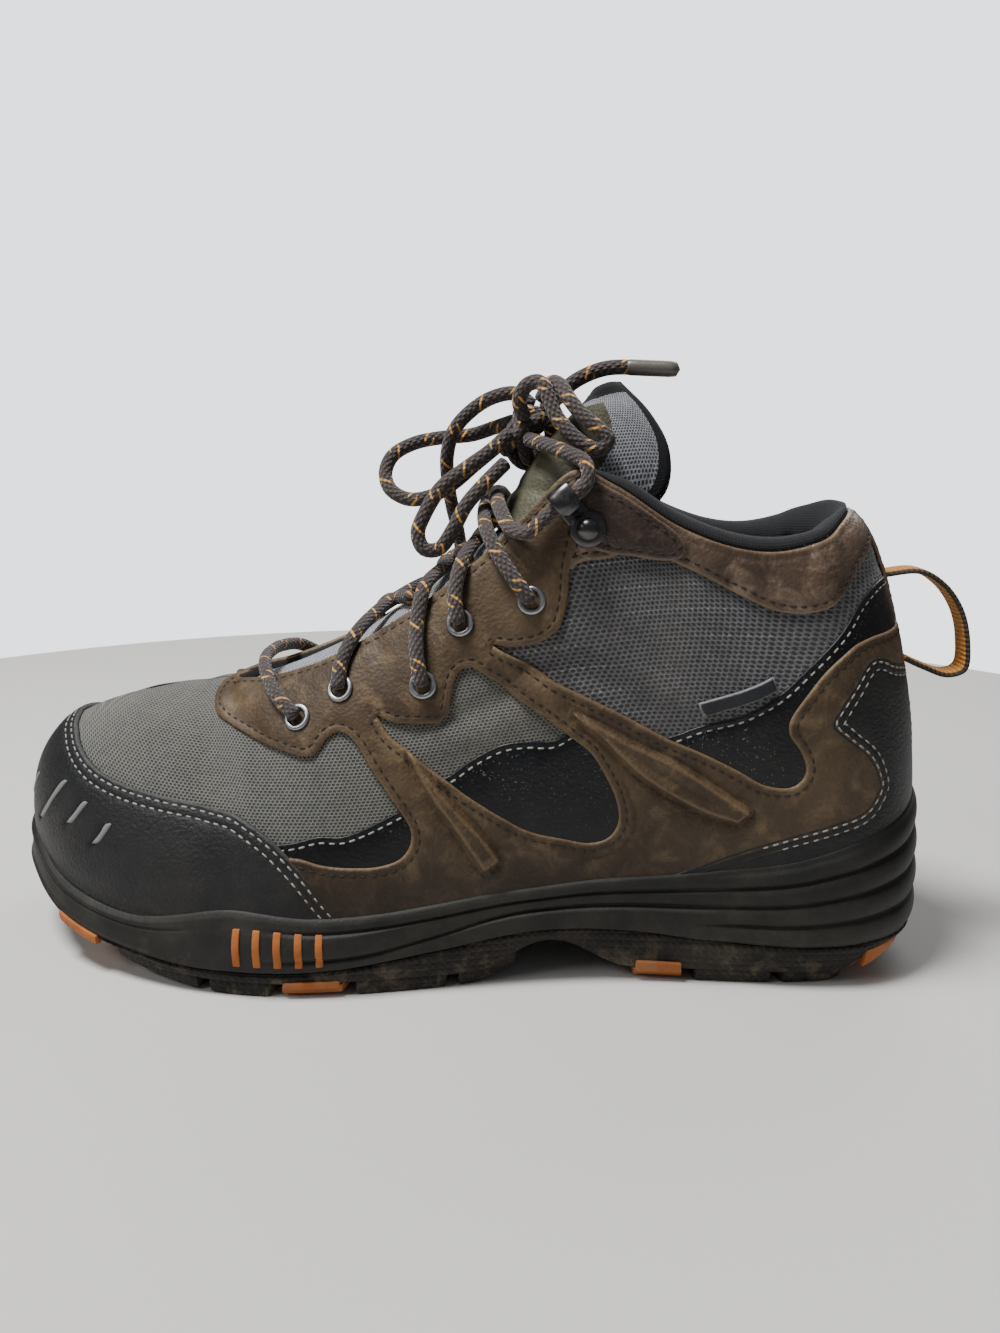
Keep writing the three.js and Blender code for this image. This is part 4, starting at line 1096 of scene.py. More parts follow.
def smoothOutline(points, step=1.5, closed=True, corner=50):
    p = np.array([[s, t * patternHeight] for s, t in points], float)
    n = len(p)
    corners = []
    for i in range(n):
        if not closed and i in (0, n - 1):
            corners.append(i)
            continue
        a, b = p[i] - p[i - 1], p[(i + 1) % n] - p[i]
        turn = abs(math.degrees(math.atan2(a[0] * b[1] - a[1] * b[0], a @ b)))
        if turn > corner:
            corners.append(i)
    if not corners:
        corners = [0]
    out = []
    spans = list(zip(corners, corners[1:] + ([corners[0] + n] if closed else [])))
    for a, b in spans:
        piece = p[[k % n for k in range(a, b + 1)]]
        if len(piece) == 2:
            count = max(1, int(norm(piece[1] - piece[0]) / step))
            share = np.linspace(0, 1, count, endpoint=False)[:, None]
            out.append(piece[0] + (piece[1] - piece[0]) * share)
        else:
            flat = curvePoints(np.column_stack([piece, 0 * piece[:, 0]]), step)[:, :2]
            out.append(flat[:-1])
    if not closed:
        out.append(p[-1:])
    line = np.vstack(out)
    line[:, 0] = np.clip(line[:, 0], 0, toeTip)
    line[:, 1] = np.clip(line[:, 1], 0, patternHeight)
    return line


def onSeam(line):
    s, t = line[:, 0], line[:, 1] / patternHeight
    return (s < 0.01) | (s > toeTip - 0.01) | ((t > 0.9999) & (s >= throatBase - 0.01))


def flatSurface(line, side):
    return skinAt(line[:, 0], line[:, 1] / patternHeight, side)


def stepInwards(line, distance, side, closed=True):
    # moves each point of a pattern line square to it over the real surface, to the left of its run
    p = flatSurface(line, side)
    if closed:
        tangent = np.roll(p, -1, 0) - np.roll(p, 1, 0)
        flatTangent = np.roll(line, -1, 0) - np.roll(line, 1, 0)
    else:
        tangent = np.gradient(p, axis=0)
        flatTangent = np.gradient(line, axis=0)
    tangent = unit(tangent, 1e-9)
    e = 0.4
    ds = np.where(line[:, 0] > toeTip - 1, -e, e)[:, None]
    dt = np.where(line[:, 1] > patternHeight - 1, -e, e)[:, None]
    js = (flatSurface(line + ds * [1, 0], side) - p) / ds
    jt = (flatSurface(line + dt * [0, 1], side) - p) / dt
    left = np.stack([-flatTangent[:, 1], flatTangent[:, 0]], 1)
    want = left[:, :1] * js + left[:, 1:] * jt
    want = unit(want - tangent * (want * tangent).sum(1)[:, None], 1e-9)
    aa, ab, bb = (js * js).sum(1), (js * jt).sum(1), (jt * jt).sum(1)
    wa, wb = (js * want).sum(1), (jt * want).sum(1)
    det = aa * bb - ab * ab + 1e-9
    move = np.stack([(bb * wa - ab * wb) / det, (aa * wb - ab * wa) / det], 1)
    size = norm(move, axis=1)[:, None]
    move = move * np.minimum(1, 3 / (size + 1e-9))
    return line + move * distance


class DistanceTo:
    def __init__(self, line, side, closed=True):
        ends = np.roll(line, -1, 0) if closed else line[1:]
        starts = line if closed else line[:-1]
        real = ~(onSeam(starts) & onSeam(ends))
        fine = [starts[real] + (ends[real] - starts[real]) * k for k in (0, 0.25, 0.5, 0.75)]
        points = flatSurface(np.vstack(fine), side) if real.any() else np.zeros((0, 3))
        self.tree = KDTree(len(points))
        for i, q in enumerate(points):
            self.tree.insert(q, i)
        self.tree.balance()

    def __call__(self, line, side):
        return np.array([self.tree.find(q)[2] for q in flatSurface(line, side)])


def signedArea(line):
    x, y = line[:, 0], line[:, 1]
    return 0.5 * (x * np.roll(y, -1) - np.roll(x, -1) * y).sum()


insetRows = (0.25, 0.8, 1.6, 2.3, 3.0)
stitchRuns = {"brown": [], "grey": []}


class Pattern:  # a flat piece with holes, on one side of the boot
    def __init__(self, outline, holes, side):
        self.side = side
        self.loops = [smoothOutline(line) for line in (outline, *holes)]
        for i, loop in enumerate(self.loops):
            if (signedArea(loop) > 0) != (i == 0):
                self.loops[i] = loop[::-1]
        self.distances = [DistanceTo(loop, side) for loop in self.loops]

    def away(self, line):
        return np.min([d(line, self.side) for d in self.distances], axis=0)

    def within(self, line):
        ok = insidePattern(line, self.loops[0])
        for hole in self.loops[1:]:
            ok &= ~insidePattern(line, hole)
        return ok


def pointsWithin(pattern, rows, marks, grid):
    # rows of points along the edge, the ridges and the grooves, then an even field between them
    found = []
    for loop in pattern.loops:
        for d in rows:
            row = stepInwards(loop, d, pattern.side)[~onSeam(loop)]
            ok = pattern.within(row) & (pattern.away(row) > d * 0.93)
            found.append(row[ok & (row[:, 0] > 0.6) & (row[:, 0] < toeTip - 0.6)])
    for line, closed, offsets in marks:
        shape = smoothOutline(line, closed=closed)
        for d in offsets:
            row = stepInwards(shape, d, pattern.side, closed) if d else shape
            found.append(row[pattern.within(row) & (pattern.away(row) > 0.7)])
    low, high = pattern.loops[0].min(0), pattern.loops[0].max(0)
    gs, gt = np.meshgrid(*(np.arange(low[k] + grid / 2, high[k], grid) for k in (0, 1)))
    gs = gs + (np.arange(gs.shape[0]) % 2)[:, None] * grid / 2
    cells = np.stack([gs.ravel(), gt.ravel()], 1)
    cells = cells[pattern.within(cells)]
    clear = (pattern.away(cells) > rows[-1] + 0.9) & (cells[:, 0] > 0.8) & (cells[:, 0] < toeTip - 0.8)
    return np.vstack(found + [cells[clear]])


def triangulated(pattern, extra):
    edges, points = [], []
    for loop in pattern.loops:
        first = len(points)
        points.extend(loop.tolist())
        edges.extend([(first + i, first + (i + 1) % len(loop)) for i in range(len(loop))])
    points.extend(extra.tolist())
    flat, _, tris, *_ = delaunay_2d_cdt([Vector(p) for p in points], edges, [], 0, 1e-4)
    flat = np.array([tuple(p) for p in flat])
    tris = np.array([t for t in tris if len(t) == 3])
    tris = tris[pattern.within(flat[tris].mean(1))]
    used = np.unique(tris)
    remap = -np.ones(len(flat), int)
    remap[used] = np.arange(len(used))
    flat, tris = flat[used], remap[tris]
    s, t = flat[:, 0], flat[:, 1]
    flat[:, 0] = np.where(s < 0.02, 0, np.where(s > toeTip - 0.02, toeTip, s))
    flat[:, 1] = np.where(t > patternHeight - 0.02, patternHeight, t)
    return flat, tris.tolist()


def panelHeights(pattern, flat, look, ridges, grooves):
    side = pattern.side
    d = pattern.away(flat)
    curve = np.sqrt(1 - (1 - np.clip(d / look.get("roll", 0.8), 0, 1)) ** 2)
    lift = look["base"] + look["thick"] * (0.4 + 0.6 * curve) + look.get("puff", 0) * (1 - np.exp(-d / 6))
    for at in look.get("stitchAt", (2.4,)):
        lift = lift - 0.3 * np.exp(-(((d - at) / 0.55) ** 2))
    rubAndHighlightDistance = d.copy()
    for line, height in ridges:
        shape = smoothOutline(line)
        near = DistanceTo(shape, side)(flat, side) * np.where(insidePattern(flat, shape), 1, -1)
        lift = lift + height * smooth(-0.5, 0.8, near) - 0.7 * np.exp(-(((near + 1.0) / 0.6) ** 2))
        # a pale line just inside each ridge's outline: partly rubbed leather, partly a painted highlight that
        # shows the ridge
        rubAndHighlightDistance = np.minimum(rubAndHighlightDistance, np.abs(near - 0.9) + 0.1)
    for line, depth in grooves:
        shape = smoothOutline(line, closed=False)
        lift = lift - depth * np.exp(-((DistanceTo(shape, side, False)(flat, side) / 0.9) ** 2))
    return lift, rubAndHighlightDistance, d


def borderEdges(flat, tris):
    # the edges that only one triangle has, but for those that lie along the middle seam
    seen = {}
    for tri in tris:
        for a, b in zip(tri, tri[1:] + tri[:1]):
            edge = (min(a, b), max(a, b))
            seen[edge] = seen.get(edge, 0) + 1
    seam = onSeam(flat)

    def sewn(a, b):
        apart = flat[a] - flat[b]
        return seam[a] and seam[b] and norm(apart) < 6 and (np.abs(apart) < 0.02).any()

    return [edge for edge, count in seen.items() if count == 1 and not sewn(*edge)]


def addStitchRuns(pattern, look):
    height = look["base"] + look["thick"] + look.get("puff", 0) * 0.33 - 0.22
    chosen = look.get("stitchWhere", lambda q: q[:, 1] > 4)
    for colour, at in look.get("stitches", ()):
        for loop in pattern.loops:
            row = stepInwards(loop, at, pattern.side)
            ok = pattern.within(row) & (pattern.away(row) > at * 0.8) & ~onSeam(loop) & chosen(row)
            gapAt = int(np.argmin(ok))  # the walk starts in a gap, where there is one
            order = [(gapAt + k) % len(row) for k in range(len(row) + int(ok.all()))]
            run = []
            for k in order + [None]:
                if k is not None and ok[k]:
                    run.append(row[k])
                    continue
                if len(run) > 3:
                    stitchRuns[colour].append((np.array(run), pattern.side, height))
                run = []


def buildPanel(name, outline, look, holes=(), ridges=(), grooves=()):
    points, uv, rim, faces = [], [], [], []
    rows = list(insetRows)
    rows += [at + d for at in look.get("stitchAt", ()) if at > insetRows[-1] for d in (-0.5, 0, 0.5)]
    marks = [(line, True, (-1.6, -1.0, -0.5, 0, 0.5, 1.0, 1.6)) for line, _ in ridges]
    marks += [(line, False, (-1.3, -0.6, 0, 0.6, 1.3)) for line, _ in grooves]
    for side in sides if look.get("sides", "both") == "both" else [outer]:
        pattern = Pattern(outline, holes, side)
        flat, tris = triangulated(pattern, pointsWithin(pattern, rows, marks, look.get("grid", 2.6)))
        lift, rubAndHighlightDistance, d = panelHeights(pattern, flat, look, ridges, grooves)
        s, t = flat[:, 0], flat[:, 1] / patternHeight
        top = sum(len(p) for p in points)
        under = top + len(flat)
        points += [surfaceAt(s, t, side, lift), surfaceAt(s, t, side, look["base"] - 0.4)]
        uv += [flat, flat]
        rim += [rubAndHighlightDistance, d]
        for a, b, c in tris:
            upward = (a, b, c) if side == inner else (a, c, b)
            faces += [tuple(top + k for k in upward), tuple(under + k for k in upward[::-1])]
        faces += [(top + a, top + b, under + b, under + a) for a, b in borderEdges(flat, tris)]
        addStitchRuns(pattern, look)
    made = buildMesh(name, np.vstack(points), faces, look["finish"], np.vstack(uv), np.concatenate(rim))
    return give(made, look["slot"], *look.get("nodes", ()))


leatherOutline = [
    (0, 0.60), (10, 0.60), (21, 0.61), (32, 0.635), (40, 0.648), (49, 0.63), (56, 0.585), (62.5, 0.525),
    (63.5, 0.485), (61, 0.43), (60.5, 0.37), (65, 0.33), (74, 0.335), (81, 0.37), (92, 0.41), (102, 0.43),
    (109, 0.45), (121, 0.485), (132, 0.56), (139, 0.63), (147, 0.705), (149.5, 0.735), (144, 0.70),
    (135, 0.67), (129, 0.67), (126, 0.71), (124, 0.77), (121, 0.83), (118, 0.92), (117, 1), (130, 1),
    (150, 1), (180, 1), (210, 1), (232, 1), (240, 1), (241.5, 1), (243, 0.97), (244.6, 0.92), (245.5, 0.87),
    (245.4, 0.82), (243.8, 0.775), (239.5, 0.745), (229, 0.715), (220, 0.668), (213, 0.628), (209.5, 0.625),
    (207, 0.65), (204.5, 0.675), (201.5, 0.685), (198.5, 0.665), (195.5, 0.62), (192, 0.54), (188, 0.46),
    (185, 0.40), (183, 0.35), (183.5, 0.31), (187, 0.275), (193, 0.265), (202, 0.275), (211, 0.295),
    (217, 0.32), (224, 0.33), (226, 0.30), (226, 0.03), (113, 0.03), (0, 0.03),
]
sideWindow = [
    (188, 0.69), (183, 0.65), (175, 0.62), (169, 0.60), (166, 0.62), (164, 0.66), (162, 0.70), (160, 0.715),
    (157, 0.71), (153, 0.67), (149, 0.63), (144, 0.57), (139, 0.52), (134, 0.47), (130, 0.43), (126, 0.39),
    (123, 0.34), (120.5, 0.28), (120.5, 0.23), (124, 0.195), (130, 0.19), (139, 0.22), (148, 0.26),
    (156, 0.32), (164, 0.39), (170, 0.45), (174, 0.49), (179, 0.55), (185, 0.62),
]
armRidges = [
    [
        (178.5, 0.555), (176, 0.50), (172, 0.425), (167, 0.35), (162, 0.28), (158, 0.205), (163.5, 0.185),
        (166.5, 0.245), (171, 0.335), (174.5, 0.40), (177.8, 0.48), (179.3, 0.54),
    ],
    [
        (130, 0.495), (124.5, 0.458), (116.5, 0.42), (107, 0.395), (98, 0.368), (89, 0.318), (79, 0.255),
        (84, 0.222), (93.5, 0.25), (100, 0.278), (106, 0.307), (112.5, 0.342), (118, 0.38), (123, 0.425),
        (127, 0.458),
    ],
]
armCreases = [
    [(118, 0.405), (110, 0.372), (100, 0.325), (90, 0.28)],
    [(117, 0.32), (114.5, 0.25), (117, 0.19), (124, 0.155), (132, 0.15)],
]
leatherPanel = {
    "base": 0.25, "thick": 1.25, "puff": 0.35, "finish": [finishes["leather"]], "slot": "upper_fabric",
    "stitches": [("brown", 2.4)],
    "stitchWhere": lambda q: (q[:, 1] > 24) | ((q[:, 0] > 112) & (q[:, 0] < 180) & (q[:, 1] > 9)),
}
buildPanel(
    "leather_panels", leatherOutline, leatherPanel, holes=[sideWindow],
    ridges=[(armRidges[0], 1.2), (armRidges[1], 1.5)], grooves=[(armCreases[0], 0.5), (armCreases[1], 0.6)],
)

blackPanel = {
    "base": 0.02, "thick": 0.5, "puff": 0.45, "finish": [finishes["blackLeather"]], "slot": "upper_fabric",
    "stitches": [("grey", 2.0)], "stitchAt": (2.0,),
}
frontOutline = [
    (218, 0.37), (211, 0.38), (204, 0.37), (197, 0.38), (188, 0.40), (182, 0.41), (178, 0.34), (180, 0.24),
    (200, 0.2), (222, 0.25), (232, 0.36),
]
buildPanel("black_panel_front", frontOutline, {**blackPanel, "stitchWhere": lambda q: q[:, 1] > 35})
sideOutline = [
    (174, 0.455), (169, 0.46), (162, 0.48), (152, 0.49), (143, 0.47), (137, 0.45), (128, 0.46), (116, 0.34),
    (114, 0.2), (126, 0.14), (146, 0.18), (162, 0.28), (176, 0.42),
]
buildPanel("black_panel_side", sideOutline, {
    **blackPanel, "thick": 0.45, "puff": 0.75, "stitchWhere": lambda q: (q[:, 1] > 42) & (q[:, 0] > 128),
})
heelOutline = [
    (108, 0.41), (99, 0.44), (91, 0.48), (78, 0.53), (64, 0.60), (54, 0.655), (44, 0.695), (33, 0.725),
    (22, 0.735), (10, 0.72), (0, 0.71), (0, 0.56), (14, 0.56), (34, 0.59), (46, 0.56), (54, 0.48),
    (52, 0.36), (62, 0.3), (76, 0.29), (92, 0.36),
]
buildPanel("black_panel_heel", heelOutline, {**blackPanel, "stitchWhere": lambda q: q[:, 1] > 47})
print("side panels made")

collarPanel = {
    "base": 0.2, "thick": 1.0, "puff": 0.5, "finish": [finishes["collarLeather"]], "slot": "upper_fabric",
    "stitches": [("brown", 2.2)], "stitchAt": (2.2,), "stitchWhere": lambda q: q[:, 1] < 103,
}
buildPanel(
    "collar_leather",
    [
        (127, 0.76), (124, 0.77), (114, 0.79), (98, 0.885), (86, 0.90), (73, 0.88), (61, 0.835), (52, 0.80),
        (45, 0.785), (38, 0.795), (30, 0.815), (20, 0.83), (10, 0.85), (0, 0.855), (0, 1), (30, 1), (60, 1),
        (90, 1), (117, 1), (119.5, 0.92), (122.5, 0.84),
    ],
    collarPanel,
)
hookPatch = {
    "base": 1.1, "thick": 0.9, "puff": 0.3, "finish": [finishes["darkLeather"]], "slot": "upper_fabric",
    "stitches": [("brown", 2.0)], "stitchAt": (2.0,),
}
buildPanel(
    "hook_patch",
    [
        (121.5, 0.95), (119, 0.972), (113, 0.982), (105, 0.984), (97, 0.984), (91, 0.98), (88, 0.96),
        (88.3, 0.935), (91, 0.908), (97, 0.872), (104.5, 0.838), (111, 0.815), (116, 0.81), (119.5, 0.825),
        (121.3, 0.87), (122, 0.91),
    ],
    hookPatch,
)
counterPanel = {
    "base": 0.3, "thick": 1.6, "puff": 0.3, "finish": [finishes["capRubber"]], "slot": "cap_rubber",
    "nodes": ["heel_counter"], "stitches": [("grey", 1.8), ("grey", 4.0)], "stitchAt": (1.8, 4.0),
    "stitchWhere": lambda q: q[:, 1] > 16,
}
buildPanel(
    "heel_counter_panel",
    [
        (0, 0.505), (12, 0.51), (23, 0.54), (30, 0.58), (36, 0.593), (44, 0.555), (50.5, 0.505), (52, 0.48),
        (47, 0.42), (41, 0.355), (38.5, 0.29), (43.5, 0.245), (53, 0.22), (68, 0.187), (83.5, 0.142),
        (98, 0.095), (109, 0.06), (109, 0.02), (0, 0.02),
    ],
    counterPanel,
)
capPanel = {
    "base": 0.3, "thick": 1.5, "puff": 0.2, "grid": 2.2, "finish": [finishes["capRubber"]],
    "slot": "cap_rubber", "nodes": ["toe_cap"], "stitches": [("grey", 1.8), ("grey", 4.4)],
    "stitchAt": (1.8, 4.4), "stitchWhere": lambda q: q[:, 1] > 14,
}
capMarks = [
    [(328, 0.41), (334, 0.26)], [(304.5, 0.46), (311, 0.36), (318, 0.245)],
    [(292.5, 0.41), (296, 0.36), (300, 0.305)], [(281.5, 0.36), (284, 0.32), (287.5, 0.275)],
]
capGrooves = [[(s + 2.2, t - 0.02) for s, t in line] for line in capMarks]
buildPanel(
    "toe_cap_panel",
    [
        (350, 0.84), (338, 0.825), (327, 0.79), (315, 0.705), (304.5, 0.615), (292, 0.537), (277, 0.493),
        (261, 0.468), (246.5, 0.452), (233.5, 0.437), (224.5, 0.38), (217, 0.285), (211, 0.185),
        (205.5, 0.1), (201, 0.03), (350, 0.03),
    ],
    capPanel, grooves=[(g, 0.9) for g in capGrooves]
)
for i, line in enumerate(capMarks):  # thin raised marks beside the grooves of the toe cap
    there = [(s - 1.5, t) for s, t in line]
    back = [(s + 1.3, t - 0.008) for s, t in line[::-1]]
    buildPanel(f"cap_mark_{i + 1}", there + back, {
        "base": 1.5, "thick": 0.75, "grid": 1.2, "roll": 0.6, "finish": [finishes["cutMark"]],
        "slot": "cap_rubber", "stitchAt": (),
    })
tagPanel = {
    "base": 0.9, "thick": 1.0, "sides": "outer", "grid": 1.6, "finish": [finishes["tagCloth"]],
    "slot": "upper_fabric", "stitchAt": (1.2,),
}
buildPanel("side_tag", [(90, 0.545), (65, 0.655), (64.5, 0.615), (89.5, 0.51)], tagPanel)
backStay = {
    "base": 1.1, "thick": 0.9, "grid": 1.8, "finish": [finishes["darkLeather"]], "slot": "upper_fabric",
    "stitches": [("brown", 1.3)], "stitchAt": (1.3,),
    "stitchWhere": lambda q: (q[:, 1] > 60) & (q[:, 1] < 105),
}
buildPanel(
    "heel_back_strip", [(0, 0.5), (5.5, 0.5), (5.8, 0.7), (6.4, 0.9), (5, 0.965), (0, 0.975)], backStay,
)
heelStrip = {
    "base": 1.9, "thick": 0.6, "grid": 1.6, "finish": [finishes["orange"]], "slot": "webbing",
    "stitches": [("brown", 1.2)], "stitchAt": (1.2,),
}
buildPanel("heel_strip", [(0, 0.42), (9, 0.42), (11, 0.36), (9, 0.30), (0, 0.30)], heelStrip)
print("caps, collar and patches made")


# Sole

soleShape = {"step": 2.5, "sideRows": 44, "rollDepth": 1.9, "grooveDepth": 1.1}


def middleAt(s, heightAt):
    x = lerp(30, 268, (featherAt(s, outer)[:, 0] - 9) / 297)
    return np.stack([x, -3 * smooth(60, 300, x), heightAt(x)], 1)


def beside(s, side, out, z):
    p = featherAt(s, side) + outwardAt(s, side) * np.broadcast_to(out, s.shape)[:, None]
    p[:, 2] = z
    return p


def rimLevel(s, side, z):
    low, high = np.zeros(len(s)), np.full(len(s), 0.7)
    for _ in range(24):
        mid = (low + high) / 2
        below = skinAt(s, mid, side)[:, 2] < z
        low, high = np.where(below, mid, low), np.where(below, high, mid)
    return low


def coreSplit(x, split):
    return np.minimum(split, footbed(x) - 3.5)


def treadBase(x, split):
    return np.minimum(ground(x) + 4.5, coreSplit(x, split) - 1.85)


def sideRelief(s, v):
    # rolls round the heel that run out into long grooves, then a smooth bulge at the ball
    heel = 1 - smooth(80, 100, s)
    roll = np.abs(np.sin(4 * np.pi * v)) ** 0.5 - 0.7
    total = soleShape["rollDepth"] * heel * roll * smooth(0, 0.06, v) * (1 - smooth(0.95, 1, v))
    middleShare = smooth(84, 100, s) * (1 - smooth(212, 236, s))
    for level, width in ((0.23, 0.035), (0.5 + 0.25 * smooth(150, 200, s), 0.04)):
        total = total - soleShape["grooveDepth"] * middleShare * np.exp(-(((v - level) / width) ** 2))
    total = total + 0.7 * middleShare * smooth(0.5, 0.62, v) * (1 - smooth(150, 185, s))
    ball = smooth(186, 206, s) * (1 - smooth(236, 262, s))
    total = total + 1.5 * ball * np.exp(-(((v - 0.5) / 0.28) ** 2))
    front = smooth(246, 262, s)
    total = total - 0.9 * front * np.exp(-(((v - 0.26) / 0.05) ** 2))
    return total - 0.7 * front * smooth(0.26, 0.4, v) * (1 - smooth(0.8, 1, v))


def midsoleSection(s, side):
    rows = []
    wide, _, rim, split = soleAt(s).T
    foot = featherAt(s, side)
    level = rimLevel(s, side, rim)
    bed = footbed(foot[:, 0]) - gap
    rows.append(middleAt(s, lambda x: footbed(x) - gap))
    rows.append(beside(s, side, gap, bed))
    for k in (0.35, 0.7, 0.94):
        rows.append(skinAt(s, level * k, side) + normalAt(s, level * k, side) * gap)
    wave = 0.5 * np.sin(s * 0.16) * smooth(20, 60, s)
    for out, up in ((gap, 0.0), (gap + 0.6, 0.45), (gap + 1.4, 0.3), (gap + 2.15, -0.35)):
        p = skinAt(s, level, side) + normalAt(s, level, side) * out
        p[:, 2] += up + wave * 0.4
        rows.append(p)
    lip = rows[-1]
    lipOut = ((lip - foot) * outwardAt(s, side)).sum(1)
    for v in np.linspace(0, 1, soleShape["sideRows"] + 1)[1:]:
        bulge = lerp(lipOut + 0.6 * min(1, v * 12), wide, np.sin(v * np.pi / 2)) + sideRelief(s, v)
        rows.append(beside(s, side, bulge - 0.8 * smooth(0.96, 1, v), lerp(lip[:, 2], split, v)))
    rows.append(beside(s, side, wide - 5, coreSplit(foot[:, 0], split)))
    rows.append(middleAt(s, lambda x: coreSplit(x, split)))
    uv = [np.stack([s, np.full(len(s), j * 1.0)], 1) for j in range(len(rows))]
    return rows, uv, ["side"] * (len(rows) - 1)


def loftRound(name, section, step, materials):
    points, uv, faces, _ = loftSheet(section, roundStations(step))
    return buildMesh(name, points, faces, materials, uv)


def outsoleSection(s, side):
    wide, foot, _, split = soleAt(s).T
    x = featherAt(s, side)[:, 0]
    base = treadBase(x, split)
    rows = [
        middleAt(s, lambda at: coreSplit(at, split) - gap),
        beside(s, side, wide - 5, coreSplit(x, split) - gap),
        beside(s, side, wide - 0.9, split - gap),
        beside(s, side, wide - 0.5, split - gap - 0.5),
    ]
    for k in (0.25, 0.5, 0.75):
        level = lerp(split - gap - 0.5, base, 0.4 * k)
        rows.append(beside(s, side, lerp(wide, foot, 0.04 + 0.14 * k), level))
    rows += [
        beside(s, side, lerp(wide, foot, 0.15), lerp(split, base, 0.4)),
        beside(s, side, lerp(wide, foot, 0.38), lerp(split, base, 0.75)),
        beside(s, side, lerp(wide, foot, 0.6), base),
        middleAt(s, lambda at: treadBase(at, split)),
    ]
    uv = [np.stack([s, np.full(len(s), j * 1.0)], 1) for j in range(len(rows))]
    return rows, uv, ["side"] * (len(rows) - 1)


def blockFrom(front, back):
    # a closed block between two rows of station pairs [[low, high], ...]
    points = [p for f, b in zip(front, back) for p in (f[0], f[1], b[1], b[0])]
    last = 4 * (len(front) - 1)
    return points, ringWalls(len(front), 4) + [(0, 3, 2, 1), (last, last + 1, last + 2, last + 3)]


def roundedBlocks(name, blocks, radius, material):
    shape = bmesh.new()
    for points, faces in blocks:
        verts = [shape.verts.new(p) for p in place(points)]
        for face in faces:
            shape.faces.new([verts[k] for k in face])
    bmesh.ops.recalc_face_normals(shape, faces=shape.faces)
    sharp = [e for e in shape.edges if e.calc_face_angle(0) > 0.5]
    bmesh.ops.bevel(
        shape, geom=sharp, offset=radius * 0.001, segments=2, profile=0.6, affect="EDGES", clamp_overlap=True,
    )
    mesh = bpy.data.meshes.new(name)
    shape.to_mesh(mesh)
    shape.free()
    mesh.polygons.foreach_set("use_smooth", [True] * len(mesh.polygons))
    mesh.set_sharp_from_angle(angle=0.7)
    return newObject(name, mesh, material)


def edgeBlock(s0, s1, side, depth, raiseBy=0.0, sunk=0.6, shrink=0.0):
    s = np.linspace(s0, s1, max(3, int((s1 - s0) / 4) + 1))
    wide, foot, _, split = soleAt(s).T
    x = featherAt(s, side)[:, 0]
    edge = beside(s, side, lerp(wide, foot, 0.6) - shrink, treadBase(x, split))
    core = middleAt(s, lambda at: treadBase(at, split))
    within = edge + (core - edge) * (depth / norm(core - edge, axis=1))[:, None]

    def grounded(p):
        q = p.copy()
        q[:, 2] = ground(p[:, 0]) + raiseBy
        return q

    def raised(p):
        q = p.copy()
        q[:, 2] += sunk
        return q

    front = list(zip(grounded(beside(s, side, foot - shrink, 0.0)), raised(edge)))
    back = list(zip(grounded(within), raised(within)))
    return blockFrom(front, back)


def sidePlate(s0, s1, side, top, tuck):
    # the part of a coloured lug that shows on the side of the sole
    s = np.linspace(s0, s1, 6)
    wide, foot, _, split = soleAt(s).T
    base = treadBase(featherAt(s, side)[:, 0], split)
    front, back = [], []
    for out, rows in ((0.9, front), (-1.5, back)):
        low = beside(s, side, lerp(wide, foot, tuck) + out, base - 1.5)
        high = beside(s, side, lerp(wide, foot, tuck * 0.5) + out, lerp(split, base, top))
        rows += list(zip(low, high))
    return blockFrom(front, back)


def middleBlock(x, y, length, width):
    along = [x + i * length / 2 for i in (-1, 0, 1)]

    def row(across):
        return [[(at, across, ground(at) + rise) for rise in (0, 5.3)] for at in along]

    return blockFrom(row(y - width / 2), row(y + width / 2))


edgeLugs = [
    [4, 24, 12], [48, 68, 16], [72, 96, 15], [154, 172, 15], [176, 203, 17], [229, 247, 17], [251, 281, 16],
    [308, 325, 13], [329, 347, 12],
]
insertLugs = [[28, 43, 8], [100, 116, 12], [207, 225, 12], [285, 304, 12]]
insertFaces = [(0.35, 0.4), (0.8, 0.6), (0.8, 0.6), (0.1, 0.1)]  # top and tuck of the face on the side
middleLugs = [
    [38, 0, 13, 22], [60, 1, 13, 22], [82, 2, 12, 20], [165, 2, 12, 34], [185, 1, 12, 38], [205, 0, 12, 40],
    [226, -1, 12, 38], [247, -2, 11, 32], [267, -3, 10, 22],
]


def buildSole():
    midsole = loftRound("midsole_body", midsoleSection, soleShape["step"], [finishes["soleRubber"]])
    give(midsole, "sole_rubber", "midsole")
    body = loftRound("outsole_body", outsoleSection, 3.0, [finishes["treadRubber"]])
    body.data.set_sharp_from_angle(angle=0.8)
    blocks = [edgeBlock(s0, s1, side, depth) for side in sides for s0, s1, depth in edgeLugs]
    blocks += [middleBlock(*lug) for lug in middleLugs]
    lugs = roundedBlocks("outsole_lugs", blocks, 0.7, finishes["treadRubber"])
    give(body, "sole_rubber", "outsole")
    give(lugs, "sole_rubber")
    for side in sides:
        label = "outer" if side == outer else "inner"
        for i, (s0, s1, depth) in enumerate(insertLugs):
            block = edgeBlock(s0, s1, side, depth, raiseBy=0.8, sunk=-gap - 0.2, shrink=0.3)
            plate = sidePlate(s0 + 0.6, s1 - 0.6, side, *insertFaces[i])
            insert = roundedBlocks(f"lug_{label}_{i + 1}", [block, plate], 0.8, finishes["orange"])
            give(insert, "orange_rubber", f"lug_insert_{label}_{i + 1}")


barLook = {"from": 213.5, "to": 237.5, "count": 5, "low": 0.86, "high": 0.24, "width": 2.2, "proud": 0.55}


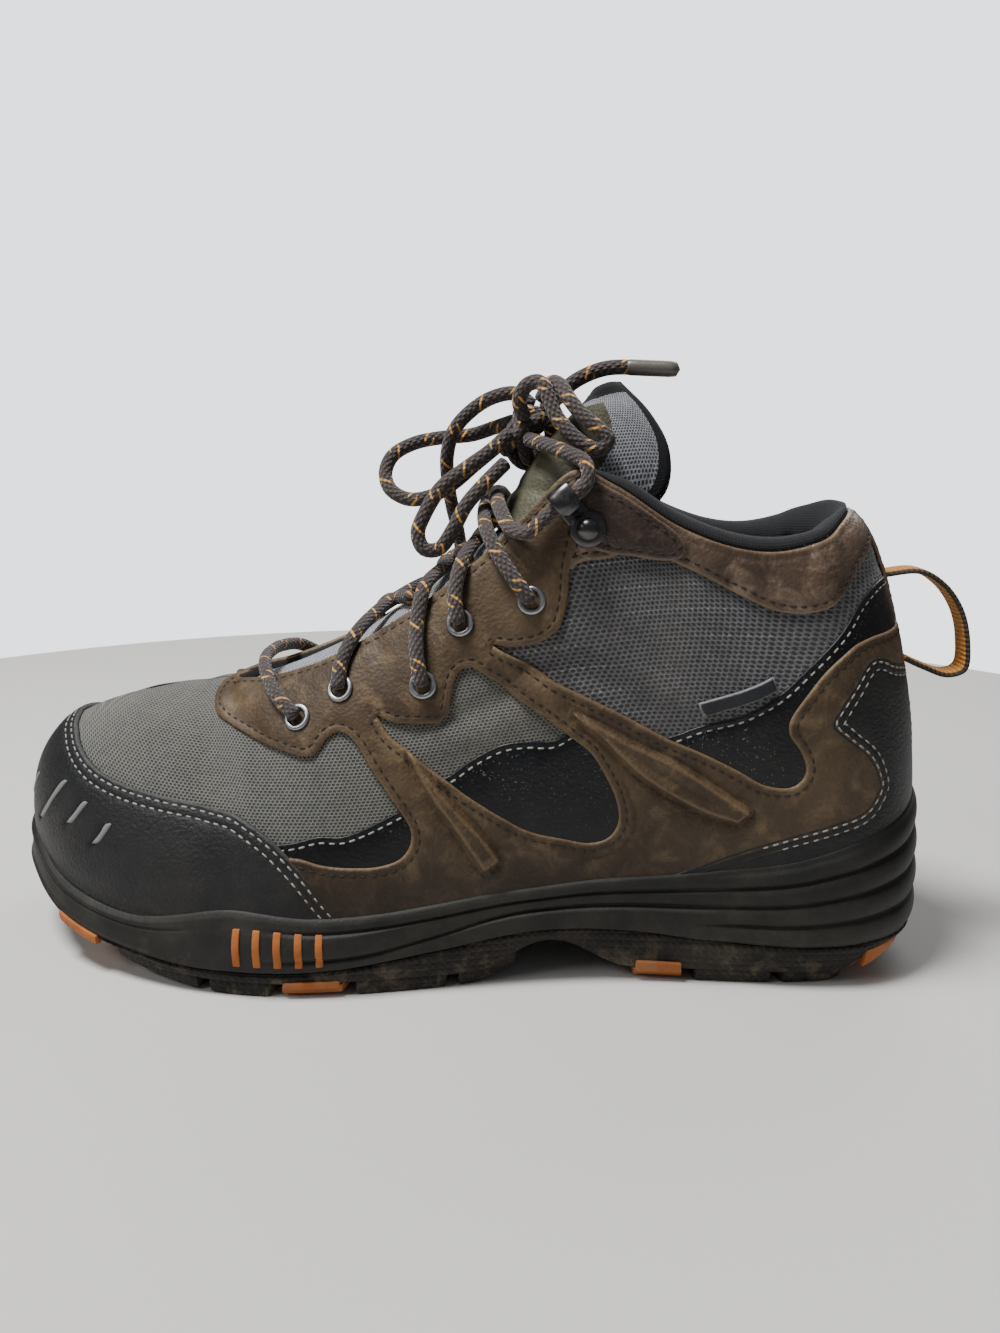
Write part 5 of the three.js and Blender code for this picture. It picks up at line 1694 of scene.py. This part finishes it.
def buildBars():  # small coloured bars set in the bulge beside the ball
    bars = []
    for side in sides:
        for i in range(barLook["count"]):
            centre = lerp(barLook["from"], barLook["to"], i / (barLook["count"] - 1))
            s = np.array([centre - barLook["width"] / 2, centre, centre + barLook["width"] / 2])
            wide, _, rim, split = soleAt(s).T
            level = rimLevel(s, side, rim)
            lip = skinAt(s, level, side) + normalAt(s, level, side) * (gap + 2.15)
            lipOut = ((lip - featherAt(s, side)) * outwardAt(s, side)).sum(1)

            def face(v, out):
                bulge = lerp(lipOut + 0.6, wide, np.sin(v * np.pi / 2)) + sideRelief(s, v)
                return beside(s, side, bulge + out, lerp(lip[:, 2], split, v))

            levels = np.linspace(barLook["high"], barLook["low"], 6)
            cuts = [(face(v, barLook["proud"]), face(v, -1.5)) for v in levels]
            points = [p for proud, deep in cuts for p in (proud[0], proud[2], deep[2], deep[0])]
            bars.append((points, ringWalls(6, 4) + [(0, 3, 2, 1), (20, 21, 22, 23)]))
    give(roundedBlocks("midsole_bars", bars, 0.4, finishes["orange"]), "orange_rubber")


buildSole()
buildBars()
print("sole made")


# Insole, tongue and pull loop

def insoleSection(s, side):
    inset = -(wall + 0.6)
    bed = featherAt(s, side)[:, 2]
    cup = 3 * (1 - smooth(70, 130, s))
    rows = [
        middleAt(s, footbed),
        beside(s, side, inset - 0.8, bed),
        beside(s, side, inset, bed + 4 + cup - 0.8),
        beside(s, side, inset - 0.8, bed + 4 + cup),
        beside(s, side, inset - 2.4, bed + 4 + cup * 0.45),
        beside(s, side, inset - 4, bed + 4),
    ]
    centre = middleAt(s, lambda x: footbed(x) + 4)
    edge = rows[-1]
    for k in (0.3, 0.65):
        rows.append(edge + (centre - edge) * k)
    rows.append(centre)
    uv = [r[:, :2] for r in rows]
    return rows, uv, ["side"] * (len(rows) - 1)


give(loftRound("insole_sheet", insoleSection, 5.0, [finishes["footbed"]]), "insole_cloth", "insole")

tongueLook = {"thick": 4.2, "halfPoints": 7, "acrossFine": 44, "alongFine": 90, "binding": 2.6}


def evenLine(points, count):
    return resampled(curvePoints(points, 0.4), count)


tongueFree = [
    [141, 147, 118, 23, 130, 118, -23, 130, 17, 2],
    [135, 157, 103, 20.5, 139, 103, -20.5, 138, 17, 3],
    [128.5, 166, 90, 19.5, 150, 92, -19.5, 149, 18, 5],
    [123.5, 172, 90, 19, 163, 92, -19, 161, 19, 5],
    [120, 176, 97, 18, 174.5, 99, -18, 172, 18, 4.5],
    [117.5, 179, 107, 15.5, 184, 108, -15.5, 181, 16, 3.5],
]
tongueUnder = [
    [247, 0.9, 0], [240, 0.9, 0.5], [231, 0.88, 2.5], [220, 0.86, 4], [206, 0.84, 5], [190, 0.8, 5],
    [174, 0.8, 5], [159, 0.84, 5], [146, 0.88, 4.5],
]


def tongueRow(row, side):
    s, tuck, crown = row
    below = wall + gap + 0.25
    at = np.array([s], float)
    edge = (skinAt(at, 1.0, side) - normalAt(at, 1.0, side) * below)[0]
    centre = np.array([edge[0], 0, edge[2] + crown])
    points = [centre]
    if s < throatBase - 2:
        points += [np.array([edge[0], edge[1] * 0.5, lerp(edge[2], centre[2], 0.78)]), edge]
    for t in (0.96, 0.92, 0.88, 0.84, 0.8):
        if t >= tuck:
            points.append((skinAt(at, t, side) - normalAt(at, t, side) * below)[0])
    return evenLine(points, tongueLook["halfPoints"])


def tongueFreeRow(row, side):
    x, z, outerX, outerY, outerZ, innerX, innerY, innerZ, swell, rise = row
    centre = np.array([x, 0, z])
    edge = np.array([outerX, outerY, outerZ] if side == outer else [innerX, innerY, innerZ], float)
    low = centre + [0, side * swell, rise * 0.5]
    high = edge + (centre - edge) * 0.55
    high = np.array([high[0] + 3, side * 23, high[2] + rise])
    curve = bezier(centre, low, high, edge, np.linspace(0, 1, 60)[:, None])
    return evenLine(curve[::4], tongueLook["halfPoints"])


def buildTongue():
    rows = []
    for make, table in ((tongueRow, tongueUnder), (tongueFreeRow, tongueFree)):
        for row in table:
            right, left = make(row, inner), make(row, outer)
            rows.append(np.vstack([right[1:][::-1], left]))
    across = np.array([evenLine(row, tongueLook["acrossFine"]) for row in rows])
    columns = [evenLine(across[:, j], tongueLook["alongFine"]) for j in range(across.shape[1])]
    face = np.array(columns).transpose(1, 0, 2)
    n, m = face.shape[:2]
    normal = unit(np.cross(np.gradient(face, axis=0), np.gradient(face, axis=1)))
    v = np.linspace(0, 1, n)[:, None]
    u = np.abs(np.linspace(-1, 1, m))[None, :]
    edge = np.minimum((1 - u) * m * 0.55, (1 - v) * n * 1.1)
    swell = 1.3 * (1 - np.exp(-edge / 5)) - 0.7 * np.exp(-(((edge - 2.8) / 0.7) ** 2))
    for k in (0.42, 0.6, 0.78):
        swell = swell - 0.8 * np.exp(-(((v - k) / 0.012) ** 2)) * (edge > 5)
    swell = swell * smooth(0.3, 0.5, v)
    top = face - normal * swell[:, :, None]
    back = face + normal * (tongueLook["thick"] * np.clip(edge / 4, 0.35, 1))[:, :, None]
    points = np.vstack([top.reshape(-1, 3), back.reshape(-1, 3)])
    uv = np.stack([runAlong(face, 1), runAlong(face)], 2).reshape(-1, 2)
    faces = sheetFaces(n, m)
    kinds = np.ones(len(faces), int)  # mesh 0, binding and back 1, leather flap 2
    for i in range(n - 1):
        for j in range(m - 1):
            bound = edge[i, j] < tongueLook["binding"] and i > n * 0.3
            flap = abs(j - (m - 1) / 2) < m * 0.27 and 0.66 < i / n < 0.95
            kinds[2 * (i * (m - 1) + j)] = 1 if bound else (2 if flap else 0)
    cloths = [finishes["tongueMesh"], finishes["lining"], finishes["oliveFlap"]]
    made = buildMesh("tongue_pad", points, faces, cloths, np.vstack([uv, uv]), faceMaterial=kinds)
    give(made, "tongue_fabric", "tongue")


buildTongue()

pullLook = {
    "width": 11.0, "thick": 1.9,
    "path": [
        [21.7, 126.3], [10, 127.5], [2, 123], [-4, 115], [-7, 105], [-7, 96], [-2, 94], [6, 96.5],
        [12.2, 99.2],
    ],
    "rib": 1.6,
}


def makeWebbing():
    material, surface, where, uv = newFinish("pull loop webbing")
    along = (uv.axis("Y") / pullLook["rib"]).calc("PINGPONG", 0.5)
    middle = (uv.axis("X") - pullLook["width"] / 2).calc("ABSOLUTE")
    fleck = where.noise(900, 3, 0.7).step(0.58, 0.66)
    stripe = (1 - middle.step(4.1, 4.6)) * (1 - fleck * 0.8)
    colour = stripe.mix(tone(44, 34, 22), tone(190, 128, 44))
    # dark lines between the woven ribs: painted shade in the grooves
    colour = (along.step(0.2, 0.02) * 0.5).mix(colour, tone(28, 24, 22))
    mud = muddied(where, colour, {"dust": 0.35, "splash": 0.0, "reach": 0.05})
    feed(surface, {"Base Color": mud["Colour"], "Roughness": 0.85})
    setBump(surface, along, 0.8, 0.0008)
    return material


def squareTo(line):  # the directions at right angles to a line in the upright middle plane
    tangent = unit(np.gradient(line, axis=0))
    return np.stack([-tangent[:, 2], 0 * tangent[:, 1], tangent[:, 0]], 1)


def buildPullLoop():
    line = curvePoints([[x, 0, z] for x, z in pullLook["path"]], 0.9)
    out = squareTo(line)
    n = len(line)
    half, thick = pullLook["width"] / 2, pullLook["thick"] / 2
    profile = [(y, thick * math.sqrt(max(0.15, 1 - abs(y / half) ** 6))) for y in np.linspace(-half, half, 9)]
    ring = profile + [(y, -t) for y, t in profile[::-1]]
    m = len(ring)
    points = [line[i] + out[i] * t + [0, y, 0] for i in range(n) for y, t in ring]
    uv = [(y + half, gone) for gone in runAlong(line) for y, _ in ring]
    faces = ringWalls(n, m) + [tuple(range(m)), tuple((n - 1) * m + k for k in reversed(range(m)))]
    made = buildMesh("pull_loop_webbing", np.array(points), faces, [makeWebbing()], uv)
    give(made, "webbing", "pull_loop")


buildPullLoop()
print("insole, tongue and pull loop made")


# Eyelets and hooks

eyeletPlaces = [[213, 0.76], [199, 0.82], [172, 0.72], [158, 0.84], [136, 0.77]]
eyeletLook = {"bore": 2.4, "barrel": 2.9, "flange": 4.3, "proud": 0.9, "reach": 3.2, "around": 24}
hookLook = {
    "s": 117, "t": 0.85, "tilt": 0.62, "width": 7.0, "front": 14.0, "back": -4.0, "height": 8.2,
    "metal": 1.1, "disc": 5.4, "dome": 3.2, "turn": 1.6, "stand": 2.0,
}


def standFrame(s, t, side, height=0.0):
    at = np.array([s], float)
    n = normalAt(at, t, side)[0]
    along = (skinAt(at + 1, t, side) - skinAt(at - 1, t, side))[0]
    along = unit(along - n * (along @ n))
    return surfaceAt(at, t, side, height)[0], along, np.cross(n, along), n


def latheMesh(profile, around):
    points, faces = [], []
    for k in range(around):
        angle = 2 * math.pi * k / around
        for r, z in profile:
            points.append((r * math.cos(angle), r * math.sin(angle), z))
    m = len(profile)
    for k in range(around):
        for j in range(m):
            a, b = k * m + j, k * m + (j + 1) % m
            c, d = ((k + 1) % around) * m + (j + 1) % m, ((k + 1) % around) * m + j
            faces.append((a, d, c, b))
    return np.array(points), faces


def buildEyelets():
    e = eyeletLook
    profile = [
        (e["bore"], -e["reach"]), (e["barrel"], -e["reach"]), (e["barrel"], 0.1), (e["flange"] - 0.1, 0.1),
        (e["flange"], 0.35),
    ]
    for angle in (20, 45, 70, 95, 120, 150):
        a = math.radians(angle)
        middle = (e["bore"] + 0.15 + e["flange"]) / 2
        profile.append(
            (middle + (e["flange"] - middle) * math.cos(a), 0.35 + (e["proud"] - 0.35) * math.sin(a))
        )
    profile += [(e["bore"] + 0.05, 0.15), (e["bore"], -0.4)]
    ring, ringFaces = latheMesh(profile, e["around"])
    c = e["around"]
    points, faces, kinds = [], [], []
    for side in sides:
        for s, t in eyeletPlaces:
            origin, along, across, n = standFrame(s, t, side, 1.75)
            first = len(points)
            points += [origin + along * p[0] + across * p[1] + n * p[2] for p in ring]
            faces += [tuple(first + k for k in f) for f in ringFaces]
            kinds += [0] * len(ringFaces)
            first = len(points)
            for z in (-1.6, -2.2):  # a dark disc inside the bore: painted shade of the hole
                for k in range(c):
                    a = 2 * math.pi * k / c
                    spoke = (along * math.cos(a) + across * math.sin(a)) * (e["bore"] + 0.2)
                    points.append(origin + spoke + n * z)
            faces.append(tuple(first + k for k in range(c)))
            faces.append(tuple(first + c + k for k in reversed(range(c))))
            for k in range(c):
                after = (k + 1) % c
                faces.append((first + k, first + c + k, first + c + after, first + after))
            kinds += [1] * (c + 2)
    metals = [finishes["steel"], finishes["hole"]]
    made = buildMesh("eyelets", np.array(points), faces, metals, faceMaterial=kinds, weld=False)
    made.data.set_sharp_from_angle(angle=1.0)
    give(made, "steel", *[f"eyelet_{label}_{i + 1}" for label in ("outer", "inner") for i in range(5)])


def buildHooks():
    h = hookLook
    front, rise, turn = h["front"], h["height"], h["turn"]
    line = [(h["back"], 0), (0, 0), (front - turn * 1.4, 0)]
    for a in (-60, -30, 0, 30, 60):
        r = math.radians(a)
        line.append((front - turn + turn * math.cos(r), rise / 2 + (rise / 2 - 0.2) * math.sin(r)))
    line += [(front - turn * 1.6, rise), (front - 4.5, rise + 0.2), (front - 8, rise - 0.4)]
    smoothLine = curvePoints([[x, 0, z] for x, z in line], 0.6)
    count = len(smoothLine)
    dome = [
        (0.01, 2.1), (1.0, 2.0), (2.0, 1.6), (h["dome"] - 0.3, 0.9), (h["dome"], 0.5),
        (h["disc"] - 0.4, 0.45), (h["disc"], 0.1), (h["disc"], -0.5), (0.01, -0.5),
    ]
    for side, name in ((outer, "outer"), (inner, "inner")):
        origin, along, across, n = standFrame(h["s"], h["t"], side, h["stand"])
        tilt = -h["tilt"] if side == outer else h["tilt"]
        fore = along * math.cos(tilt) + across * math.sin(tilt)
        wideWay = -along * math.sin(tilt) + across * math.cos(tilt)
        points = []
        for i, (p, o) in enumerate(zip(smoothLine, squareTo(smoothLine))):
            end = min(i, count - 1 - i) * 0.6
            half = h["width"] / 2 * min(1, 0.55 + 0.45 * math.sqrt(min(1, end / 2.5)))
            cut = half - 0.5
            profile = [(-half, -0.25), (-half, 0.25), (-cut, 0.5), (cut, 0.5)]
            for y, t in profile + [(-y, -t) for y, t in profile]:
                q = p + o * t * h["metal"]
                points.append(origin + fore * q[0] + wideWay * y + n * (q[2] + 0.9))
        faces = ringWalls(count, 8)
        faces += [tuple(range(8)), tuple((count - 1) * 8 + k for k in reversed(range(8)))]
        ring, ringFaces = latheMesh(dome, 24)
        first = len(points)
        points += [origin + fore * p[0] + wideWay * p[1] + n * (p[2] + 1.0) for p in ring]
        faces += [tuple(first + k for k in f) for f in ringFaces]
        made = buildMesh(f"lace_hook_{name}", np.array(points), faces, [finishes["darkMetal"]])
        made.data.set_sharp_from_angle(angle=0.9)
        give(made, "steel", f"hook_{name}")


buildEyelets()
buildHooks()
print("eyelets and hooks made")


# The collar pad: the soft rolled lining of the ankle opening.

padLook = {"around": 90, "levels": 20, "swell": 1.0, "thick": 1.6, "lowest": 0.64, "frontAt": 121.0}


def buildCollarPad():
    points, uv, faces = [], [], []
    for side in sides:
        s = np.linspace(0, padLook["frontAt"], padLook["around"])
        share = padShare(s, 1.0)[:, None]
        n = normalAt(s, 1.0, side)
        outerTop = surfaceAt(s, 1.0, side, 0.4)
        innerTop = skinAt(s, 1.0, side) - n * (wall + collarPad * share)
        rise = np.array([[0, 0, 1.0]]) * lerp(0.9, 6.4, share)
        rows = []
        for k in np.linspace(0, 1, 12):
            rows.append(bezier(outerTop, outerTop + rise, innerTop + rise, innerTop, k))
        for t in np.linspace(1, padLook["lowest"], padLook["levels"])[1:]:
            share = padShare(s, t)
            swell = padLook["swell"] * math.sin(math.pi * (1 - t) / (1 - padLook["lowest"])) * share
            wave = 0.25 * np.sin(s * 0.55) * share
            depth = wall + collarPad * share + swell + wave + 0.3
            rows.append(skinAt(s, t, side) - normalAt(s, t, side) * depth[:, None])
        grid = np.stack(rows, 1)
        n1, m = grid.shape[:2]
        normal = unit(np.cross(np.gradient(grid, axis=0), np.gradient(grid, axis=1)), 1e-12)
        middle = n1 // 2
        inwards = np.sign((normal[middle, m - 2] * normalAt(s[middle : middle + 1], 0.8, side)[0]).sum())
        normal[0, :, 1] = 0
        back = grid + normal * inwards * padLook["thick"]
        back[0, :, 1] = 0
        first = sum(len(p) for p in points)
        points += [grid.reshape(-1, 3), back.reshape(-1, 3)]
        uv += [np.stack([runAlong(grid), runAlong(grid, 1)], 2).reshape(-1, 2)] * 2
        faces += sheetFaces(n1, m, first, closed=False)
    made = buildMesh("collar_pad", np.vstack(points), faces, [finishes["lining"]], np.vstack(uv))
    give(made, "upper_fabric")


buildCollarPad()
print("collar pad made")


# Stitches: one Geometry Nodes tree sets short threads along every row.

stitchLook = {"pitch": 3.1, "length": 2.3, "width": 0.62}


def makeStitchShape(name, material):
    mesh = bpy.data.meshes.new(name)
    half, radius = stitchLook["length"] / 2, stitchLook["width"] / 2
    points = []
    profile = [(-half, 0.35, -0.25), (-half * 0.55, 1, 0.05), (half * 0.55, 1, 0.05), (half, 0.35, -0.25)]
    for x, size, rise in profile:
        for k in range(6):
            angle = 2 * math.pi * k / 6
            y, z = math.cos(angle) * radius * size, math.sin(angle) * radius * size * 0.8 + rise
            points.append((x * 0.001, y * 0.001, z * 0.001))
    faces = ringWalls(4, 6) + [tuple(reversed(range(6))), tuple(range(18, 24))]
    mesh.from_pydata(points, [], faces)
    shape = bmesh.new()
    shape.from_mesh(mesh)
    bmesh.ops.recalc_face_normals(shape, faces=shape.faces)
    shape.to_mesh(mesh)
    shape.free()
    mesh.polygons.foreach_set("use_smooth", [True] * len(mesh.polygons))
    return newObject(name, mesh, material)


def buildStitchTree():
    tree = bpy.data.node_groups.new("stitch row", "GeometryNodeTree")
    face = tree.interface
    face.new_socket("Geometry", in_out="INPUT", socket_type="NodeSocketGeometry")
    face.new_socket("Stitch", in_out="INPUT", socket_type="NodeSocketObject")
    face.new_socket("Pitch", in_out="INPUT", socket_type="NodeSocketFloat").default_value = 0.003
    face.new_socket("Thread", in_out="INPUT", socket_type="NodeSocketMaterial")
    face.new_socket("Seed", in_out="INPUT", socket_type="NodeSocketInt").default_value = 3
    face.new_socket("Geometry", in_out="OUTPUT", socket_type="NodeSocketGeometry")
    given, out = tree.nodes.new("NodeGroupInput").outputs, tree.nodes.new("NodeGroupOutput")
    curve = addNode(tree, "GeometryNodeMeshToCurve", {"Mesh": given["Geometry"]})
    even = addNode(
        tree, "GeometryNodeResampleCurve", {"Curve": curve.outputs[0], "Length": given["Pitch"]},
        mode="LENGTH",
    )
    tangent = addNode(tree, "GeometryNodeInputTangent", {})
    up = addNode(tree, "GeometryNodeInputNamedAttribute", {"Name": "surfaceUp"}, data_type="FLOAT_VECTOR")
    first = addNode(tree, "FunctionNodeAlignRotationToVector", {"Vector": tangent.outputs[0]}, axis="X")
    second = addNode(
        tree, "FunctionNodeAlignRotationToVector",
        {"Rotation": first.outputs[0], "Vector": up.outputs["Attribute"]}, axis="Z", pivot_axis="X",
    )
    shape = addNode(tree, "GeometryNodeObjectInfo", {"Object": given["Stitch"]}, transform_space="ORIGINAL")
    size = addNode(
        tree, "FunctionNodeRandomValue",
        {"Min": (0.88, 0.85, 0.85), "Max": (1.08, 1.1, 1.1), "Seed": given["Seed"]},
        data_type="FLOAT_VECTOR",
    )
    copies = addNode(tree, "GeometryNodeInstanceOnPoints", {
        "Points": even.outputs[0], "Instance": shape.outputs["Geometry"], "Rotation": second.outputs[0],
        "Scale": size.outputs["Value"],
    })
    real = addNode(tree, "GeometryNodeRealizeInstances", {"Geometry": copies.outputs[0]})
    painted = addNode(
        tree, "GeometryNodeSetMaterial", {"Geometry": real.outputs[0], "Material": given["Thread"]},
    )
    tree.links.new(painted.outputs[0], out.inputs["Geometry"])
    return tree


stitchTree = buildStitchTree()


def buildStitches(colour, material):
    points, ups, edges = [], [], []
    for run, side, height in stitchRuns[colour]:
        s, t = run[:, 0], run[:, 1] / patternHeight
        first = len(points)
        points += list(surfaceAt(s, t, side, height))
        ups += list(normalAt(s, t, side))
        edges += [(first + i, first + i + 1) for i in range(len(run) - 1)]
    mesh = bpy.data.meshes.new(f"stitches_{colour}")
    mesh.from_pydata(place(points).tolist(), edges, [])
    upward = mesh.attributes.new("surfaceUp", "FLOAT_VECTOR", "POINT")
    upward.data.foreach_set("vector", np.array(ups, np.float32).ravel())
    rows = newObject(f"stitches_{colour}", mesh)
    single = makeStitchShape(f"stitch_{colour}", material)
    modifier = rows.modifiers.new("stitch row", "NODES")
    modifier.node_group = stitchTree
    takes = [item for item in stitchTree.interface.items_tree if item.in_out == "INPUT"]
    sockets = {item.name: item.identifier for item in takes}
    modifier[sockets["Stitch"]] = single
    modifier[sockets["Pitch"]] = stitchLook["pitch"] * 0.001
    modifier[sockets["Thread"]] = material
    modifier[sockets["Seed"]] = 7
    made = bpy.data.meshes.new_from_object(rows.evaluated_get(bpy.context.evaluated_depsgraph_get()))
    rows.modifiers.clear()
    rows.data = made
    if not made.materials:
        made.materials.append(material)
    bpy.data.objects.remove(single)
    give(rows, "upper_fabric")
    print(colour, "stitches", len(made.polygons), "faces")


buildStitches("brown", finishes["brownThread"])
buildStitches("grey", finishes["greyThread"])


# Floor and room

def buildFloor():  # a round table top, pale and plain
    mesh = bpy.data.meshes.new("floor")
    turn = np.linspace(0, 2 * np.pi, 97)[:-1]
    mesh.from_pydata([(0.55 * math.cos(a), 0.55 * math.sin(a), 0) for a in turn], [], [tuple(range(96))])
    floor = newObject("floor", mesh, makePlain("pale floor", (0.6, 0.59, 0.57, 1.0), 0.9, speckle=0.01))
    floor.location.z = -0.0002


def buildWorld():
    world = bpy.data.worlds.new("room")
    bpy.context.scene.world = world
    world.use_nodes = True
    background = world.node_tree.nodes["Background"]
    # the wall is pale where the camera sees it, and the light that it gives is soft
    seen = outOf(world.node_tree, "ShaderNodeLightPath", "Is Camera Ray", {})
    feed(background, {"Color": (0.93, 0.95, 1.0, 1.0), "Strength": seen * 2.2 + 0.15})


buildFloor()
buildWorld()

print("all pieces made")
